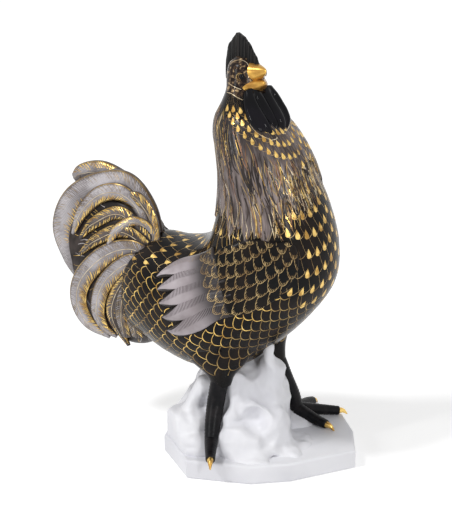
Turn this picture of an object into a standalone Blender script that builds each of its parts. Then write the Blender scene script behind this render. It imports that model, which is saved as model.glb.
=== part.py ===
# Porcelain rooster on a rocky plinth, one fired piece.
# The bird looks along +X and stands on its plinth, whose flat underside is centred on the origin.
# Sizes and places are in millimetres here, and heights are taken from the plinth's top face.
import math

import bmesh
import bpy
import numpy as np
from mathutils import Matrix, Vector, noise

MM = 0.001

# Plinth. Its outline is in shares of half its length along X and half its width along Y.
PLINTH_LENGTH = 180.0
PLINTH_WIDTH = 166.0
PLINTH_THICKNESS = 18.0
PLINTH_EDGE_ROUND = 2.5
PLINTH_OUTLINE = [
    (-0.42, -0.99), (0.2, -0.84), (0.53, -0.6), (1.0, 0.0), (0.82, 0.46), (0.58, 0.82),
    (0.24, 1.0), (-0.39, 0.96), (-0.84, 0.58), (-1.0, 0.0), (-0.89, -0.51),
]

# The torso's outline in its middle plane, from the tail's root to the crown:
# back x, back z, front x, front z, half width.
TORSO = [
    (-131, 148, -133, 96, 22),
    (-122, 170, -126, 85, 36),
    (-103, 179, -110, 79, 46),
    (-82, 178, -84, 68, 55),
    (-66, 180, -52, 61, 62),
    (-53, 185, -18, 66, 65),
    (-44, 194, 10, 87, 65),
    (-41, 205, 41, 118, 62),
    (-39, 219, 63, 151, 57),
    (-38, 236, 66, 184, 51),
    (-39, 253, 58, 216, 47),
    (-42, 269, 46, 243, 43),
    (-45, 283, 36, 265, 39),
    (-44, 296, 23, 285, 34),
    (-39, 307, 9, 299, 27),
    (-35, 318, -3, 311, 21),
    (-35, 329, -3, 325, 18),
    (-33, 339, -7, 337, 15),
    (-27, 345, -15, 344, 8),
]

# Head and its ornaments. The head is turned to the bird's right and lifted.
HEAD_STATION = 15.6
HEAD_TURN = math.radians(-25.0)
HEAD_LIFT = math.radians(10.0)
COMB_LENGTH = 40.0
COMB_HEIGHT = 20.0
COMB_THICKNESS = 16.0
COMB_ROOT = 18.0
COMB_RIBS = 6
# Height of the comb over the crown, from its front lobe back: share of its length, share of its height.
COMB_EDGE = [
    (0.0, -0.1), (0.07, 0.1), (0.2, 0.5), (0.34, 0.78), (0.44, 0.92), (0.53, 1.0),
    (0.62, 0.86), (0.72, 0.7), (0.81, 0.6), (0.9, 0.4), (1.0, -0.1),
]
BEAK_LENGTH = 20.0
UPPER_BILL_WIDTH = 24.0
LOWER_BILL_WIDTH = 34.0
BEAK_HEIGHT = 22.0
BEAK_ROOT = 8.0
# The eye's place: share of the head's half length before its middle, and height over the middle
EYE_FORWARD = 0.66
EYE_RISE = 6.5
EYE_RADIUS = 3.0
WATTLE_LENGTH = 42.0
WATTLE_WIDTH = 29.0
WATTLE_THICKNESS = 17.0
# A wattle's width at even steps from the bill down, as shares of WATTLE_WIDTH
WATTLE_SWELL = [(0.55,), (0.8,), (0.93,), (1.0,), (0.86,), (0.2,)]

# The tail's fan, a fin that the feathers lie on: x, lowest z, highest z, half thickness.
TAIL_FAN = [
    (-92, 84, 170, 34), (-106, 74, 184, 29), (-122, 67, 198, 24), (-140, 67, 206, 19),
    (-157, 75, 207, 15), (-172, 87, 201, 12), (-186, 105, 191, 9), (-197, 127, 179, 6),
]

# Feathers that stand in the middle of the tail, from the root out: x, y, z, half width.
MIDDLE_PLUME_THICKNESS = 11.0
MAIN_SICKLE = [
    (-104, -1, 168, 6), (-114, -1, 200, 8), (-135, -1, 222, 9), (-165, -1, 217, 11),
    (-192, -1, 198, 13), (-204, -1, 170, 13), (-198, -1, 142, 9), (-190, -1, 120, 2),
]
FAR_SICKLE = [
    (-106, 4, 165, 6), (-118, 7, 195, 7), (-140, 12, 215, 8), (-168, 15, 224, 10), (-190, 15, 221, 9),
    (-200, 14, 215, 5),
]
FRONT_PLUME = [(-102, 2, 165, 8), (-114, 2, 193, 7), (-126, 2, 215, 7), (-139, 2, 228, 3)]

# Feathers on the sides of the fan: x, height over the fan, z, half width. The middle of a feather keeps
# at least SIDE_PLUME_OUT from the tail's middle plane where the fan is thin or has ended.
SIDE_PLUME_THICKNESS = 6.0
SIDE_PLUME_OUT = 7.0
BOTH_SIDES = {
    "second_sickle": [
        (-107, -2, 165, 5), (-119, 0, 196, 6), (-137, 2, 212, 8), (-160, 3, 209, 8),
        (-180, 3, 190, 6), (-190, 3, 168, 2),
    ],
    "inner_quill": [(-98, -2, 164, 6), (-130, 2, 180, 7), (-160, 2, 168, 6), (-182, 2, 150, 2)],
    "lower_sickle": [
        (-96, -2, 158, 6), (-120, 2, 167, 8), (-150, 3, 155, 10), (-178, 3, 128, 10), (-188, 3, 102, 9),
        (-178, 3, 82, 7), (-155, 3, 70, 2),
    ],
    "inner_sickle": [
        (-96, -2, 152, 6), (-120, 3, 155, 8), (-150, 4, 130, 8), (-163, 4, 100, 7.5),
        (-160, 4, 80, 5), (-147, 4, 72, 2),
    ],
    "side_plume": [(-120, 2, 145, 5), (-138, 2, 120, 7), (-145, 2, 95, 7), (-135, 2, 65, 2)],
    "under_covert": [(-95, 2, 162, 6), (-112, 2, 135, 8), (-120, 2, 105, 8), (-120, 2, 80, 6)],
}
RIGHT_SIDE = {
    "upper_covert": [(-98, 0, 165, 6), (-108, 2, 190, 6), (-120, 3, 208, 6), (-132, 4, 214, 2)],
    "upper_quill": [(-100, -2, 168, 6), (-135, 1, 194, 7), (-165, 1, 182, 6), (-182, 1, 165, 2)],
    "hook": [(-98, -2, 166, 4), (-108, 3, 183, 5), (-122, 4, 190, 5), (-138, 4, 180, 5), (-147, 4, 165, 2)],
    "front_covert": [(-90, 1, 156, 7), (-100, 1, 132, 8), (-106, 1, 84, 6)],
    "rear_covert": [(-106, 1, 155, 7), (-126, 1, 130, 8), (-134, 1, 100, 8), (-135, 1, 76, 5)],
}

# Wing: the quills of its top and bottom flight feathers, which the others fan between, and its shoulder.
# Torso station, angle round the torso from the back, and half width. The left wing mirrors the right one.
WING_RELIEF = 3.6
FLIGHT_FEATHERS = 5
TOP_FLIGHT = [(6.9, -1.0, 8), (5.5, -0.8, 9), (4.4, -0.75, 9), (3.6, -0.85, 6.5), (3.0, -1.0, 1.5)]
LOW_FLIGHT = [(6.7, -1.8, 7), (5.8, -1.6, 8), (4.9, -1.6, 8), (4.2, -1.7, 6), (3.7, -1.75, 1.5)]
WING_SHOULDER = [(9.1, -2.15, 5), (8.6, -2.0, 19), (7.9, -1.75, 28), (7.2, -1.55, 30), (6.6, -1.4, 27)]

# Hackle: a feather's width and relief along its length as shares, then where the points end on the body
# by angle from the back of the neck and torso station. A feather sinks by ROOT_DEPTH at its root.
HACKLE_RELIEF = 2.2
HACKLE_TIPS = 20
HACKLE_TOP = 14.4
HACKLE_STAGGER = 0.35
HACKLE_SHAPE = [(0.0, 1.1, 0.1), (0.3, 1.3, 0.45), (0.62, 1.45, 0.9), (0.85, 1.1, 1.0), (1.0, 0.15, 0.6)]
HACKLE_EDGE = [(0.0, 7.2), (0.9, 8.0), (1.5, 8.0), (2.0, 9.3), (2.5, 10.5), (3.15, 11.6)]
ROOT_SHARE = 0.45
ROOT_DEPTH = 5.0

# Legs: thigh sections (x, y, z, radius along x, radius along y), then shank and toes.
# The near leg is the bird's right one, at -Y.
NEAR_THIGH = [
    (-40, -22, 116, 50, 32), (-36, -29, 95, 41, 27), (-31, -34, 80, 28, 19), (-26, -37, 68, 14, 12),
    (-24, -38, 58, 8.5, 8.5),
]
NEAR_SHANK = [(-25, -38, 68), (-27, -43, 45), (-26, -52, 28), (-23, -62, 14)]
NEAR_TOES = [
    [(-23, -62, 14), (-18, -74, 10), (-13, -85, 7)],
]
FAR_THIGH = [(-24, 28, 116, 34, 26), (-15, 31, 92, 25, 20), (-8, 32, 74, 15, 13), (-1, 32, 58, 8.5, 8)]
FAR_SHANK = [(-1, 32, 62), (7, 33, 42), (14, 35, 26), (18, 37, 12)]
FAR_TOES = [
    [(18, 37, 12), (37, 34, 6), (50, 31, 4)],
    [(18, 37, 12), (36, 54, 7), (49, 65, 4)],
    [(18, 37, 12), (20, 56, 10), (22, 67, 8)],
]
SHANK_RADIUS = 7.0
SHANK_SWELL = (1.1, 1.1, 1.0, 0.85)
TOE_RADIUS = 4.4
TOE_TAPER = (1.35, 1.1, 0.9)
CLAW_LENGTH = 9.0
CLAW_TAPER = (0.75, 0.5, 0.12)

# Rock: rounded lumps (centre x, y, z, radius along x, y, z), then ridges (points along each, and a radius).
ROCKS = [
    (-21, 0, 16, 48, 42, 62),
    (11, -8, 58, 13, 15, 29),
    (-56, -8, 14, 27, 28, 25),
    (-57, -38, 8, 27, 25, 26),
    (-44, -58, -2, 28, 18, 17),
    (16, -22, 13, 25, 23, 25),
    (40, -28, -4, 14, 14, 10),
    (32, -8, -4, 22, 24, 13),
    (-4, -44, 6, 26, 23, 21),
    (8, -56, -4, 26, 15, 12),
    (8, 44, -5, 35, 30, 17),
    (-38, 34, 10, 42, 36, 32),
    (-12, 56, -2, 34, 20, 16),
    (-62, 20, 4, 24, 28, 26),
]
ROCK_RIDGES = [
    ([(-4, -34, 32), (2, -36, 41), (14, -32, 38), (24, -31, 26), (31, -31, 10)], 6.5),
    ([(12, -16, 90), (13, -16, 76), (15, -15, 60), (18, -14, 42)], 6.5),
    ([(-14, -32, 62), (-12, -36, 42), (-14, -44, 26)], 8.0),
    ([(-46, -28, 50), (-52, -34, 38), (-60, -44, 26), (-62, -56, 10)], 9.0),
    ([(4, -46, 18), (12, -50, 14), (20, -46, 8), (30, -40, 4)], 6.0),
    ([(-60, 4, 46), (-68, 0, 30), (-76, -8, 12)], 9.0),
    ([(-30, 40, 50), (-34, 52, 30), (-30, 62, 10)], 8.0),
]
ROCK_CREASE_DEPTH = 2.4
ROCK_CREASE_SPACING = 40.0
ROCK_GRAIN = 2.5

# Faces round and along the main forms, and how many triangles the rock and the whole figure may have
TORSO_SIDES = 26
TORSO_STEPS = 34
FAN_SIDES = 16
PLUME_SIDES = 6
PLUME_STEPS = 2
ROCK_FACES = 1800
FACES_ALLOWED = 11600
SHARP_ANGLE = math.radians(40.0)

# Volume under which a loose shell is only a crumb that the joining left
CRUMB = 20.0

# Materials: colour, roughness, metallic
PALETTE = {
    "white_glaze": ((0.86, 0.86, 0.88), 0.18, 0.0),
    "black_glaze": ((0.012, 0.011, 0.012), 0.12, 0.0),
    "feather_mauve": ((0.17, 0.13, 0.12), 0.22, 0.0),
    "feather_grey": ((0.3, 0.27, 0.27), 0.2, 0.0),
    "feather_pale": ((0.55, 0.5, 0.51), 0.2, 0.0),
    "gilding": ((0.78, 0.55, 0.2), 0.25, 1.0),
}


def clear_scene():
    for obj in list(bpy.data.objects):
        bpy.data.objects.remove(obj)


def make_materials():
    made = {}
    for name, (colour, roughness, metallic) in PALETTE.items():
        material = bpy.data.materials.new(name)
        material.use_nodes = True
        shader = material.node_tree.nodes["Principled BSDF"]
        shader.inputs["Base Color"].default_value = (*colour, 1.0)
        shader.inputs["Roughness"].default_value = roughness
        shader.inputs["Metallic"].default_value = metallic
        material.diffuse_color = (*colour, 1.0)
        made[name] = material
    return made


def place(x, y, z):
    """A point in millimetres over the plinth's top face, as a place in the scene."""
    return Vector((x * MM, y * MM, (z + PLINTH_THICKNESS) * MM))


def through(points, at):
    """Catmull-Rom curve through rows of numbers; at counts rows, so 1.5 is half way between rows 1 and 2."""
    rows = np.asarray(points, float)
    rows = np.vstack([2 * rows[0] - rows[1], rows, 2 * rows[-1] - rows[-2]])
    at = np.clip(np.atleast_1d(np.asarray(at, float)), 0, len(points) - 1)
    i = np.minimum(at.astype(int), len(points) - 2)
    t = (at - i)[:, None]
    a, b, c, d = (rows[i + k] for k in range(4))
    return 0.5 * (2 * b + (c - a) * t + (2 * a - 5 * b + 4 * c - d) * t**2 + (3 * b - a - 3 * c + d) * t**3)


def along(rows, steps_each):
    """The same curve read at even steps from end to end."""
    return through(rows, np.linspace(0, len(rows) - 1, (len(rows) - 1) * steps_each + 1))


def unit(vectors):
    return vectors / np.maximum(np.linalg.norm(vectors, axis=-1, keepdims=True), 1e-9)


def object_from(bm, name, material):
    mesh = bpy.data.meshes.new(name)
    bmesh.ops.recalc_face_normals(bm, faces=bm.faces)
    bm.to_mesh(mesh)
    bm.free()
    mesh.materials.append(material)
    return bpy.data.objects.new(name, mesh)


def as_mesh(obj, name, material=None):
    """What an object's curve or modifiers make, as a plain mesh object, with a curve's caps welded on."""
    bpy.context.scene.collection.objects.link(obj)
    bpy.context.view_layer.update()
    graph = bpy.context.evaluated_depsgraph_get()
    mesh = bpy.data.meshes.new_from_object(obj.evaluated_get(graph))
    mesh.transform(obj.matrix_world)
    bpy.data.objects.remove(obj)
    bm = bmesh.new()
    bm.from_mesh(mesh)
    bmesh.ops.remove_doubles(bm, verts=bm.verts, dist=1e-6)
    bmesh.ops.recalc_face_normals(bm, faces=bm.faces)
    bm.to_mesh(mesh)
    bm.free()
    if material:
        mesh.materials.clear()
        mesh.materials.append(material)
    return bpy.data.objects.new(name, mesh)


def loft(name, rings, material):
    """Skins rings of equal count and closes both ends with a fan round the end ring's centre."""
    bm = bmesh.new()
    skin = [[bm.verts.new(place(*point)) for point in ring] for ring in rings]
    sides = len(skin[0])
    for before, after in zip(skin, skin[1:]):
        for i in range(sides):
            j = (i + 1) % sides
            bm.faces.new((before[i], before[j], after[j], after[i]))
    for ring in (skin[0], skin[-1]):
        centre = bm.verts.new(sum((vert.co for vert in ring), Vector()) / sides)
        for i in range(sides):
            bm.faces.new((ring[i], ring[(i + 1) % sides], centre))
    bmesh.ops.triangulate(bm, faces=bm.faces)
    return object_from(bm, name, material)


def limb(name, path, radii, material, sides=8):
    """A round bar that swells and tapers along a curve."""
    curve = bpy.data.curves.new(name, "CURVE")
    curve.dimensions = "3D"
    curve.bevel_depth = MM
    curve.bevel_resolution = (sides - 4) // 2
    curve.use_fill_caps = True
    rows = along([(*point, radius) for point, radius in zip(path, radii)], 2)
    spline = curve.splines.new("POLY")
    spline.points.add(len(rows) - 1)
    for point, (x, y, z, radius) in zip(spline.points, rows):
        point.co = (*place(x, y, z), 1)
        point.radius = radius
    return as_mesh(bpy.data.objects.new(name + "_curve", curve), name, material)


def torso_point(station, angle):
    """A point of the torso; angle 0 is the back, pi the breast, and positive angles the bird's left side."""
    station, angle = np.broadcast_arrays(np.asarray(station, float), np.asarray(angle, float))
    row = through(TORSO, station.ravel())
    back, front = row[:, 0:2], row[:, 2:4]
    turn = angle.ravel()
    flat = (back + front) / 2 + (back - front) / 2 * np.cos(turn)[:, None]
    across = row[:, 4] * np.sin(turn)
    return np.stack([flat[:, 0], across, flat[:, 1]], axis=1).reshape(*station.shape, 3)


def torso_normal(station, angle):
    step = 0.02
    up = torso_point(station + step, angle) - torso_point(station - step, angle)
    around = torso_point(station, angle + step) - torso_point(station, angle - step)
    return unit(np.cross(up, around))


def build_torso(material):
    stations = np.linspace(0, len(TORSO) - 1, TORSO_STEPS)
    angles = np.arange(TORSO_SIDES) * 2 * math.pi / TORSO_SIDES
    return loft("torso", torso_point(stations[:, None], angles[None, :]), material)


def blade(centre, half, across, face, depth, sides):
    """One cross-section of a feather: a flat lens whose edges run out thin."""
    turns = [2 * math.pi * i / sides for i in range(sides)]
    return [centre + across * half * math.cos(t) + face * depth * math.sin(t) for t in turns]


def plume(name, rows, thickness, material):
    """A tail feather, broad in the plane of its own curve."""
    path = along(rows, PLUME_STEPS)
    centre = path[:, :3]
    half = np.maximum(path[:, 3], 1.0)
    quill = unit(np.gradient(centre, axis=0))
    across = unit(np.cross(quill, (0.0, 1.0, 0.0)))
    face = unit(np.cross(across, quill))
    depth = np.minimum(thickness / 2, half * 0.7)
    rings = [blade(c, h, a, f, d, PLUME_SIDES) for c, h, a, f, d in zip(centre, half, across, face, depth)]
    return loft(name, rings, material)


def fan_half(x, z):
    """Half the fan's thickness at a place of the tail's middle plane."""
    xs, low, high, half = np.array(TAIL_FAN, float)[::-1].T
    low, high, half = (float(np.interp(x, xs, column)) for column in (low, high, half))
    rise = (z - (low + high) / 2) / ((high - low) / 2)
    return half * math.sqrt(max(1 - rise**2, 0)) if x > xs[0] else 0.0


def build_fan(material):
    turns = [2 * math.pi * i / FAN_SIDES for i in range(FAN_SIDES)]
    rings = []
    for x, low, high, half in TAIL_FAN:
        middle, rise = (low + high) / 2, (high - low) / 2
        rings.append([(x, half * math.cos(t), middle + rise * math.sin(t)) for t in turns])
    return loft("tail_fan", rings, material)


def side_plume(name, rows, side, material):
    """A tail feather laid on the fan, on the bird's right side at -1 and on its left side at 1."""
    lying = [(x, side * max(fan_half(x, z) + over, SIDE_PLUME_OUT), z, half) for x, over, z, half in rows]
    return plume(name, lying, SIDE_PLUME_THICKNESS, material)


def build_tail(material):
    made = [
        build_fan(material),
        plume("main_sickle", MAIN_SICKLE, MIDDLE_PLUME_THICKNESS, material),
        plume("far_sickle", FAR_SICKLE, MIDDLE_PLUME_THICKNESS, material),
        plume("front_plume", FRONT_PLUME, MIDDLE_PLUME_THICKNESS, material),
    ]
    for name, rows in BOTH_SIDES.items():
        made.append(side_plume("right_" + name, rows, -1, material))
        made.append(side_plume("left_" + name, rows, 1, material))
    for name, rows in RIGHT_SIDE.items():
        made.append(side_plume(name, rows, -1, material))
    return made


def on_torso(name, rows, relief, material, sides=6, side=1):
    """A feather that lies on the torso: station, angle, half width and, if given, share of the relief."""
    rows = np.asarray(rows, float)
    centre = torso_point(rows[:, 0], rows[:, 1])
    normal = torso_normal(rows[:, 0], rows[:, 1])
    across = unit(np.cross(unit(np.gradient(centre, axis=0)), normal))
    share = rows[:, 3] if rows.shape[1] > 3 else np.ones(len(rows))
    mirror = np.array([1, side, 1])
    rings = []
    for c, n, a, half, lift in zip(centre, normal, across, np.maximum(rows[:, 2], 1.0), share):
        sunk = c + n * min(lift - ROOT_SHARE, 0) * ROOT_DEPTH
        rings.append([point * mirror for point in blade(sunk, half, a, n, min(lift * relief, half), sides)])
    return loft(name, rings, material)


def build_wings(feather_material, shoulder_material):
    top, low = np.array(TOP_FLIGHT), np.array(LOW_FLIGHT)
    made = []
    for side, label in ((1, "right"), (-1, "left")):
        for i in range(FLIGHT_FEATHERS):
            rows = top + (low - top) * i / (FLIGHT_FEATHERS - 1)
            made.append(on_torso(f"{label}_flight_{i + 1}", rows, WING_RELIEF, feather_material, side=side))
        name = f"{label}_shoulder"
        made.append(on_torso(name, WING_SHOULDER, WING_RELIEF, shoulder_material, sides=14, side=side))
    return made


def build_hackle(material):
    """The cape of long narrow feathers that hangs from the neck and ends in points round its foot."""
    made = []
    angles, stations = zip(*HACKLE_EDGE)
    for i in range(HACKLE_TIPS):
        angle = math.pi * (2 * (i + 0.5) / HACKLE_TIPS - 1)
        tip = float(np.interp(abs(angle), angles, stations)) + HACKLE_STAGGER * (i % 2)
        rows = []
        for share, width, lift in HACKLE_SHAPE:
            station = HACKLE_TOP + (tip - HACKLE_TOP) * share
            spacing = math.pi * through(TORSO, station)[0, 4] / HACKLE_TIPS
            rows.append((station, angle, spacing * width, lift))
        made.append(on_torso(f"hackle_{i + 1}", rows, HACKLE_RELIEF, material))
    return made


def build_thigh(name, sections, material):
    """Level ellipses that narrow from the belly down to the top of the shank."""
    turns = [2 * math.pi * i / 12 for i in range(12)]
    rings = []
    for x, y, z, rx, ry in sections:
        rings.append([(x + rx * math.cos(t), y + ry * math.sin(t), z) for t in turns])
    return loft(name, rings, material)


def build_leg(label, thigh, shank, toes, skin_material, claw_material):
    made = [
        build_thigh(f"{label}_thigh", thigh, skin_material),
        limb(f"{label}_shank", shank, [SHANK_RADIUS * k for k in SHANK_SWELL], skin_material),
    ]
    for i, path in enumerate(toes):
        made.append(limb(f"{label}_toe_{i + 1}", path, [TOE_RADIUS * k for k in TOE_TAPER], skin_material))
        end, before = Vector(path[-1]), Vector(path[-2])
        forward = (end - before).normalized()
        tip = end + forward * CLAW_LENGTH - Vector((0, 0, CLAW_LENGTH * 0.35))
        claw = [end - forward * TOE_RADIUS / 3, end + forward * CLAW_LENGTH / 2, tip]
        radii = [TOE_RADIUS * k for k in CLAW_TAPER]
        made.append(limb(f"{label}_claw_{i + 1}", claw, radii, claw_material, sides=6))
    return made


def head_centre():
    """The middle of the torso's section that is the head, and half its length and its width there."""
    back_x, back_z, front_x, front_z, half_width = through(TORSO, HEAD_STATION)[0]
    return Vector(((back_x + front_x) / 2, 0, (back_z + front_z) / 2)), (front_x - back_x) / 2, half_width


def on_head(x, y, z):
    """A point given in the head's own axes, X along the beak, as a place on the bird."""
    local = Vector((x, y, z))
    local.rotate(Matrix.Rotation(-HEAD_LIFT, 3, "Y"))
    local.rotate(Matrix.Rotation(HEAD_TURN, 3, "Z"))
    return local + head_centre()[0]


def build_comb(material):
    """A thick fluted comb, highest behind its middle, that comes down over the bill in a rounded lobe."""
    steps, rows = 20, 3
    crown = TORSO[-1][1] - head_centre()[0].z
    shares, heights = zip(*COMB_EDGE)
    rings = []
    for k in range(steps + 1):
        s = k / steps
        x = COMB_LENGTH * (0.45 - s)
        top = crown + COMB_HEIGHT * float(np.interp(s, shares, heights))
        root = crown - COMB_ROOT
        taper = math.sin(math.pi * min(max(s, 0.04), 0.96)) ** 0.45
        rib = 0.86 + 0.14 * math.cos(2 * math.pi * COMB_RIBS * s)
        side = []
        for j in range(rows + 1):
            half = COMB_THICKNESS / 2 * taper * rib * (1 - 0.75 * (j / rows) ** 1.5)
            side.append((half, root + (top - root) * j / rows))
        ring = [(x, half, z) for half, z in side] + [(x, -half, z) for half, z in reversed(side)]
        rings.append([on_head(*point) for point in ring])
    return loft("comb", rings, material)


def build_bill(name, width, middle, rise, height, length, material):
    """Half of the beak: a cone, oval across, whose middle line rises toward its tip."""
    start = head_centre()[1] - BEAK_ROOT
    turns = [2 * math.pi * i / 8 for i in range(8)]
    rings = []
    for k in range(6):
        s = k / 5
        half_width = width / 2 * (1 - s) ** 0.8 + 0.6
        half_height = height * (1 - s) ** 0.75 + 1.0
        z = middle + rise * s * s
        x = start + length * s
        rings.append([on_head(x, half_width * math.cos(t), z + half_height * math.sin(t)) for t in turns])
    return loft(name, rings, material)


def build_beak(material):
    """The upper bill, deep at its root, over a shorter and broader lower bill, both rooted in the face."""
    tall, reach = BEAK_HEIGHT, BEAK_LENGTH
    short = reach * 0.84
    return [
        build_bill("upper_bill", UPPER_BILL_WIDTH, tall * 0.36, tall * 0.05, tall * 0.46, reach, material),
        build_bill("lower_bill", LOWER_BILL_WIDTH, tall * -0.14, tall * 0.1, tall * 0.36, short, material),
    ]


def build_eye(name, side, material):
    """A low round bump, whose middle lies a little under the side of the face."""
    bm = bmesh.new()
    half_length, half_width = head_centre()[1:]
    out = half_width * math.sqrt(1 - EYE_FORWARD**2) - EYE_RADIUS * 0.75
    centre = place(*on_head(half_length * EYE_FORWARD, side * out, EYE_RISE))
    bmesh.ops.create_uvsphere(
        bm, u_segments=10, v_segments=6, radius=EYE_RADIUS * MM, matrix=Matrix.Translation(centre)
    )
    return object_from(bm, name, material)


def build_wattle(name, side, length, material):
    """A lobe that hangs from the bill and lies on the throat, its sections closest at the rounded end."""
    turns = [2 * math.pi * i / 10 for i in range(10)]
    rings = []
    for k in range(9):
        s = math.sin(math.pi / 2 * k / 8)
        x, y, z = 13 + 11 * s + 9 * s * s, side * (7.5 - 1.75 * s * s) + 1.5, -6 - length * s
        swell = through(WATTLE_SWELL, s * (len(WATTLE_SWELL) - 1))[0, 0]
        ring = []
        for t in turns:
            out = WATTLE_WIDTH / 2 * swell * math.cos(t)
            deep = WATTLE_THICKNESS / 2 * swell * math.sin(t)
            ring.append(on_head(x + deep, y + out, z + deep / 2))
        rings.append(ring)
    return loft(name, rings, material)


def crease(point):
    """How far the rock's surface sinks in or swells at a place, from -1 to 1."""
    p = point / (ROCK_CREASE_SPACING * MM)
    folds = 1 - 4 * abs(noise.noise(p + Vector((3.1, 0.0, 7.7))))
    return 0.8 * folds + 0.2 * noise.noise(p * 2.2)


def plinth_corners():
    return [(x * PLINTH_LENGTH / 2, y * PLINTH_WIDTH / 2) for x, y in PLINTH_OUTLINE]


def hold_on_plinth(point, corners):
    """Brings a place of the rock inside the plinth's outline and above its mid thickness."""
    x, y, z = point / MM
    shrink = 1.0
    for (ax, ay), (bx, by) in zip(corners, corners[1:] + corners[:1]):
        reach = Vector((by - ay, ax - bx)).normalized()
        edge = reach.dot(Vector((ax, ay))) - PLINTH_EDGE_ROUND
        out = reach.dot(Vector((x, y)))
        if out > edge:
            shrink = min(shrink, edge / out)
    return Vector((x * shrink, y * shrink, max(z, PLINTH_THICKNESS / 2))) * MM


def build_rock(material):
    """Lumps and ridges pressed together, smoothed over and creased."""
    bm = bmesh.new()
    for x, y, z, rx, ry, rz in ROCKS:
        shape = Matrix.LocRotScale(place(x, y, z), None, Vector((rx, ry, rz)) * MM)
        bmesh.ops.create_icosphere(bm, subdivisions=3, radius=1.0, matrix=shape)
    for path, radius in ROCK_RIDGES:
        ridge = limb("ridge", path, [radius] * len(path), material)
        bm.from_mesh(ridge.data)
        bpy.data.objects.remove(ridge)
    clay = object_from(bm, "rock_lumps", material)
    press = clay.modifiers.new("press", "REMESH")
    press.mode = "VOXEL"
    press.voxel_size = ROCK_GRAIN * MM
    soften = clay.modifiers.new("soften", "SMOOTH")
    soften.factor = 0.6
    soften.iterations = 6
    pressed = as_mesh(clay, "rock_pressed", material)
    normals = [vert.normal.copy() for vert in pressed.data.vertices]
    corners = plinth_corners()
    for vert, normal in zip(pressed.data.vertices, normals):
        vert.co = hold_on_plinth(vert.co + normal * ROCK_CREASE_DEPTH * MM * crease(vert.co), corners)
    soften = pressed.modifiers.new("soften", "SMOOTH")
    soften.factor = 0.5
    soften.iterations = 2
    trim = pressed.modifiers.new("trim", "DECIMATE")
    trim.ratio = min(1.0, ROCK_FACES / (2 * len(pressed.data.polygons)))
    return as_mesh(pressed, "rock", material)


def build_plinth(material):
    curve = bpy.data.curves.new("plinth_outline", "CURVE")
    curve.dimensions = "2D"
    curve.fill_mode = "BOTH"
    curve.extrude = (PLINTH_THICKNESS / 2 - PLINTH_EDGE_ROUND) * MM
    curve.bevel_depth = PLINTH_EDGE_ROUND * MM
    curve.bevel_resolution = 2
    curve.offset = -PLINTH_EDGE_ROUND * MM
    corners = plinth_corners()
    spline = curve.splines.new("POLY")
    spline.points.add(len(corners) - 1)
    for point, (x, y) in zip(spline.points, corners):
        point.co = (x * MM, y * MM, 0, 1)
    spline.use_cyclic_u = True
    slab = bpy.data.objects.new("plinth_curve", curve)
    slab.location.z = PLINTH_THICKNESS / 2 * MM
    return as_mesh(slab, "plinth", material)


def clean_up(mesh):
    """Takes out pockets closed in where shapes meet inside the clay, and crumbs that the joining leaves."""
    bm = bmesh.new()
    bm.from_mesh(mesh)
    unseen = set(bm.faces)
    while unseen:
        shell = [unseen.pop()]
        for face in shell:
            for edge in face.edges:
                for other in edge.link_faces:
                    if other in unseen:
                        unseen.remove(other)
                        shell.append(other)
        volume = sum(face.calc_center_median().dot(face.normal) * face.calc_area() for face in shell) / 3
        if volume < CRUMB * MM**3:
            bmesh.ops.delete(bm, geom=shell, context="FACES")
    bm.to_mesh(mesh)
    bm.free()


def trim_faces(figure, name):
    """Merges the smallest faces above the plinth until the figure has no more than it may."""
    above = figure.vertex_groups.new(name="above_plinth")
    top = (PLINTH_THICKNESS + 1) * MM
    above.add([vert.index for vert in figure.data.vertices if vert.co.z > top], 1.0, "REPLACE")
    triangles = sum(len(polygon.vertices) - 2 for polygon in figure.data.polygons)
    trim = figure.modifiers.new("trim", "DECIMATE")
    trim.ratio = min(1.0, FACES_ALLOWED / triangles)
    trim.vertex_group = above.name
    return as_mesh(figure, name)


def main():
    clear_scene()
    materials = make_materials()
    figurine = bpy.data.collections.new("porcelain_rooster")
    shapes = bpy.data.collections.new("shapes_joined_into_it")
    for collection in (figurine, shapes):
        bpy.context.scene.collection.children.link(collection)

    white, black, gold = materials["white_glaze"], materials["black_glaze"], materials["gilding"]
    joined = [
        *build_tail(materials["feather_grey"]),
        *build_wings(materials["feather_pale"], black),
        *build_hackle(materials["feather_mauve"]),
        *build_leg("near", NEAR_THIGH, NEAR_SHANK, NEAR_TOES, black, gold),
        *build_leg("far", FAR_THIGH, FAR_SHANK, FAR_TOES, black, gold),
        build_comb(black),
        *build_beak(gold),
        build_eye("left_eye", 1, black),
        build_eye("right_eye", -1, black),
        build_wattle("right_wattle", -1, WATTLE_LENGTH, black),
        build_wattle("left_wattle", 1, WATTLE_LENGTH * 0.92, black),
        build_rock(white),
        build_plinth(white),
    ]
    for shape in joined:
        shapes.objects.link(shape)
        shape.hide_render = True
        shape.display_type = "WIRE"

    body = build_torso(black)
    luting = body.modifiers.new("luting", "BOOLEAN")
    luting.operation = "UNION"
    luting.operand_type = "COLLECTION"
    luting.collection = shapes
    luting.use_self = True
    luting.material_mode = "TRANSFER"
    untrimmed = as_mesh(body, "rooster_untrimmed")
    clean_up(untrimmed.data)
    rooster = trim_faces(untrimmed, "rooster_figurine")
    rooster.data.shade_smooth()
    rooster.data.set_sharp_from_angle(angle=SHARP_ANGLE)
    figurine.objects.link(rooster)


main()
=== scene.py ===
import math
import random

import bmesh
import bpy
import numpy as np
from mathutils import Matrix, Vector, noise
from mathutils.bvhtree import BVHTree


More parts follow.
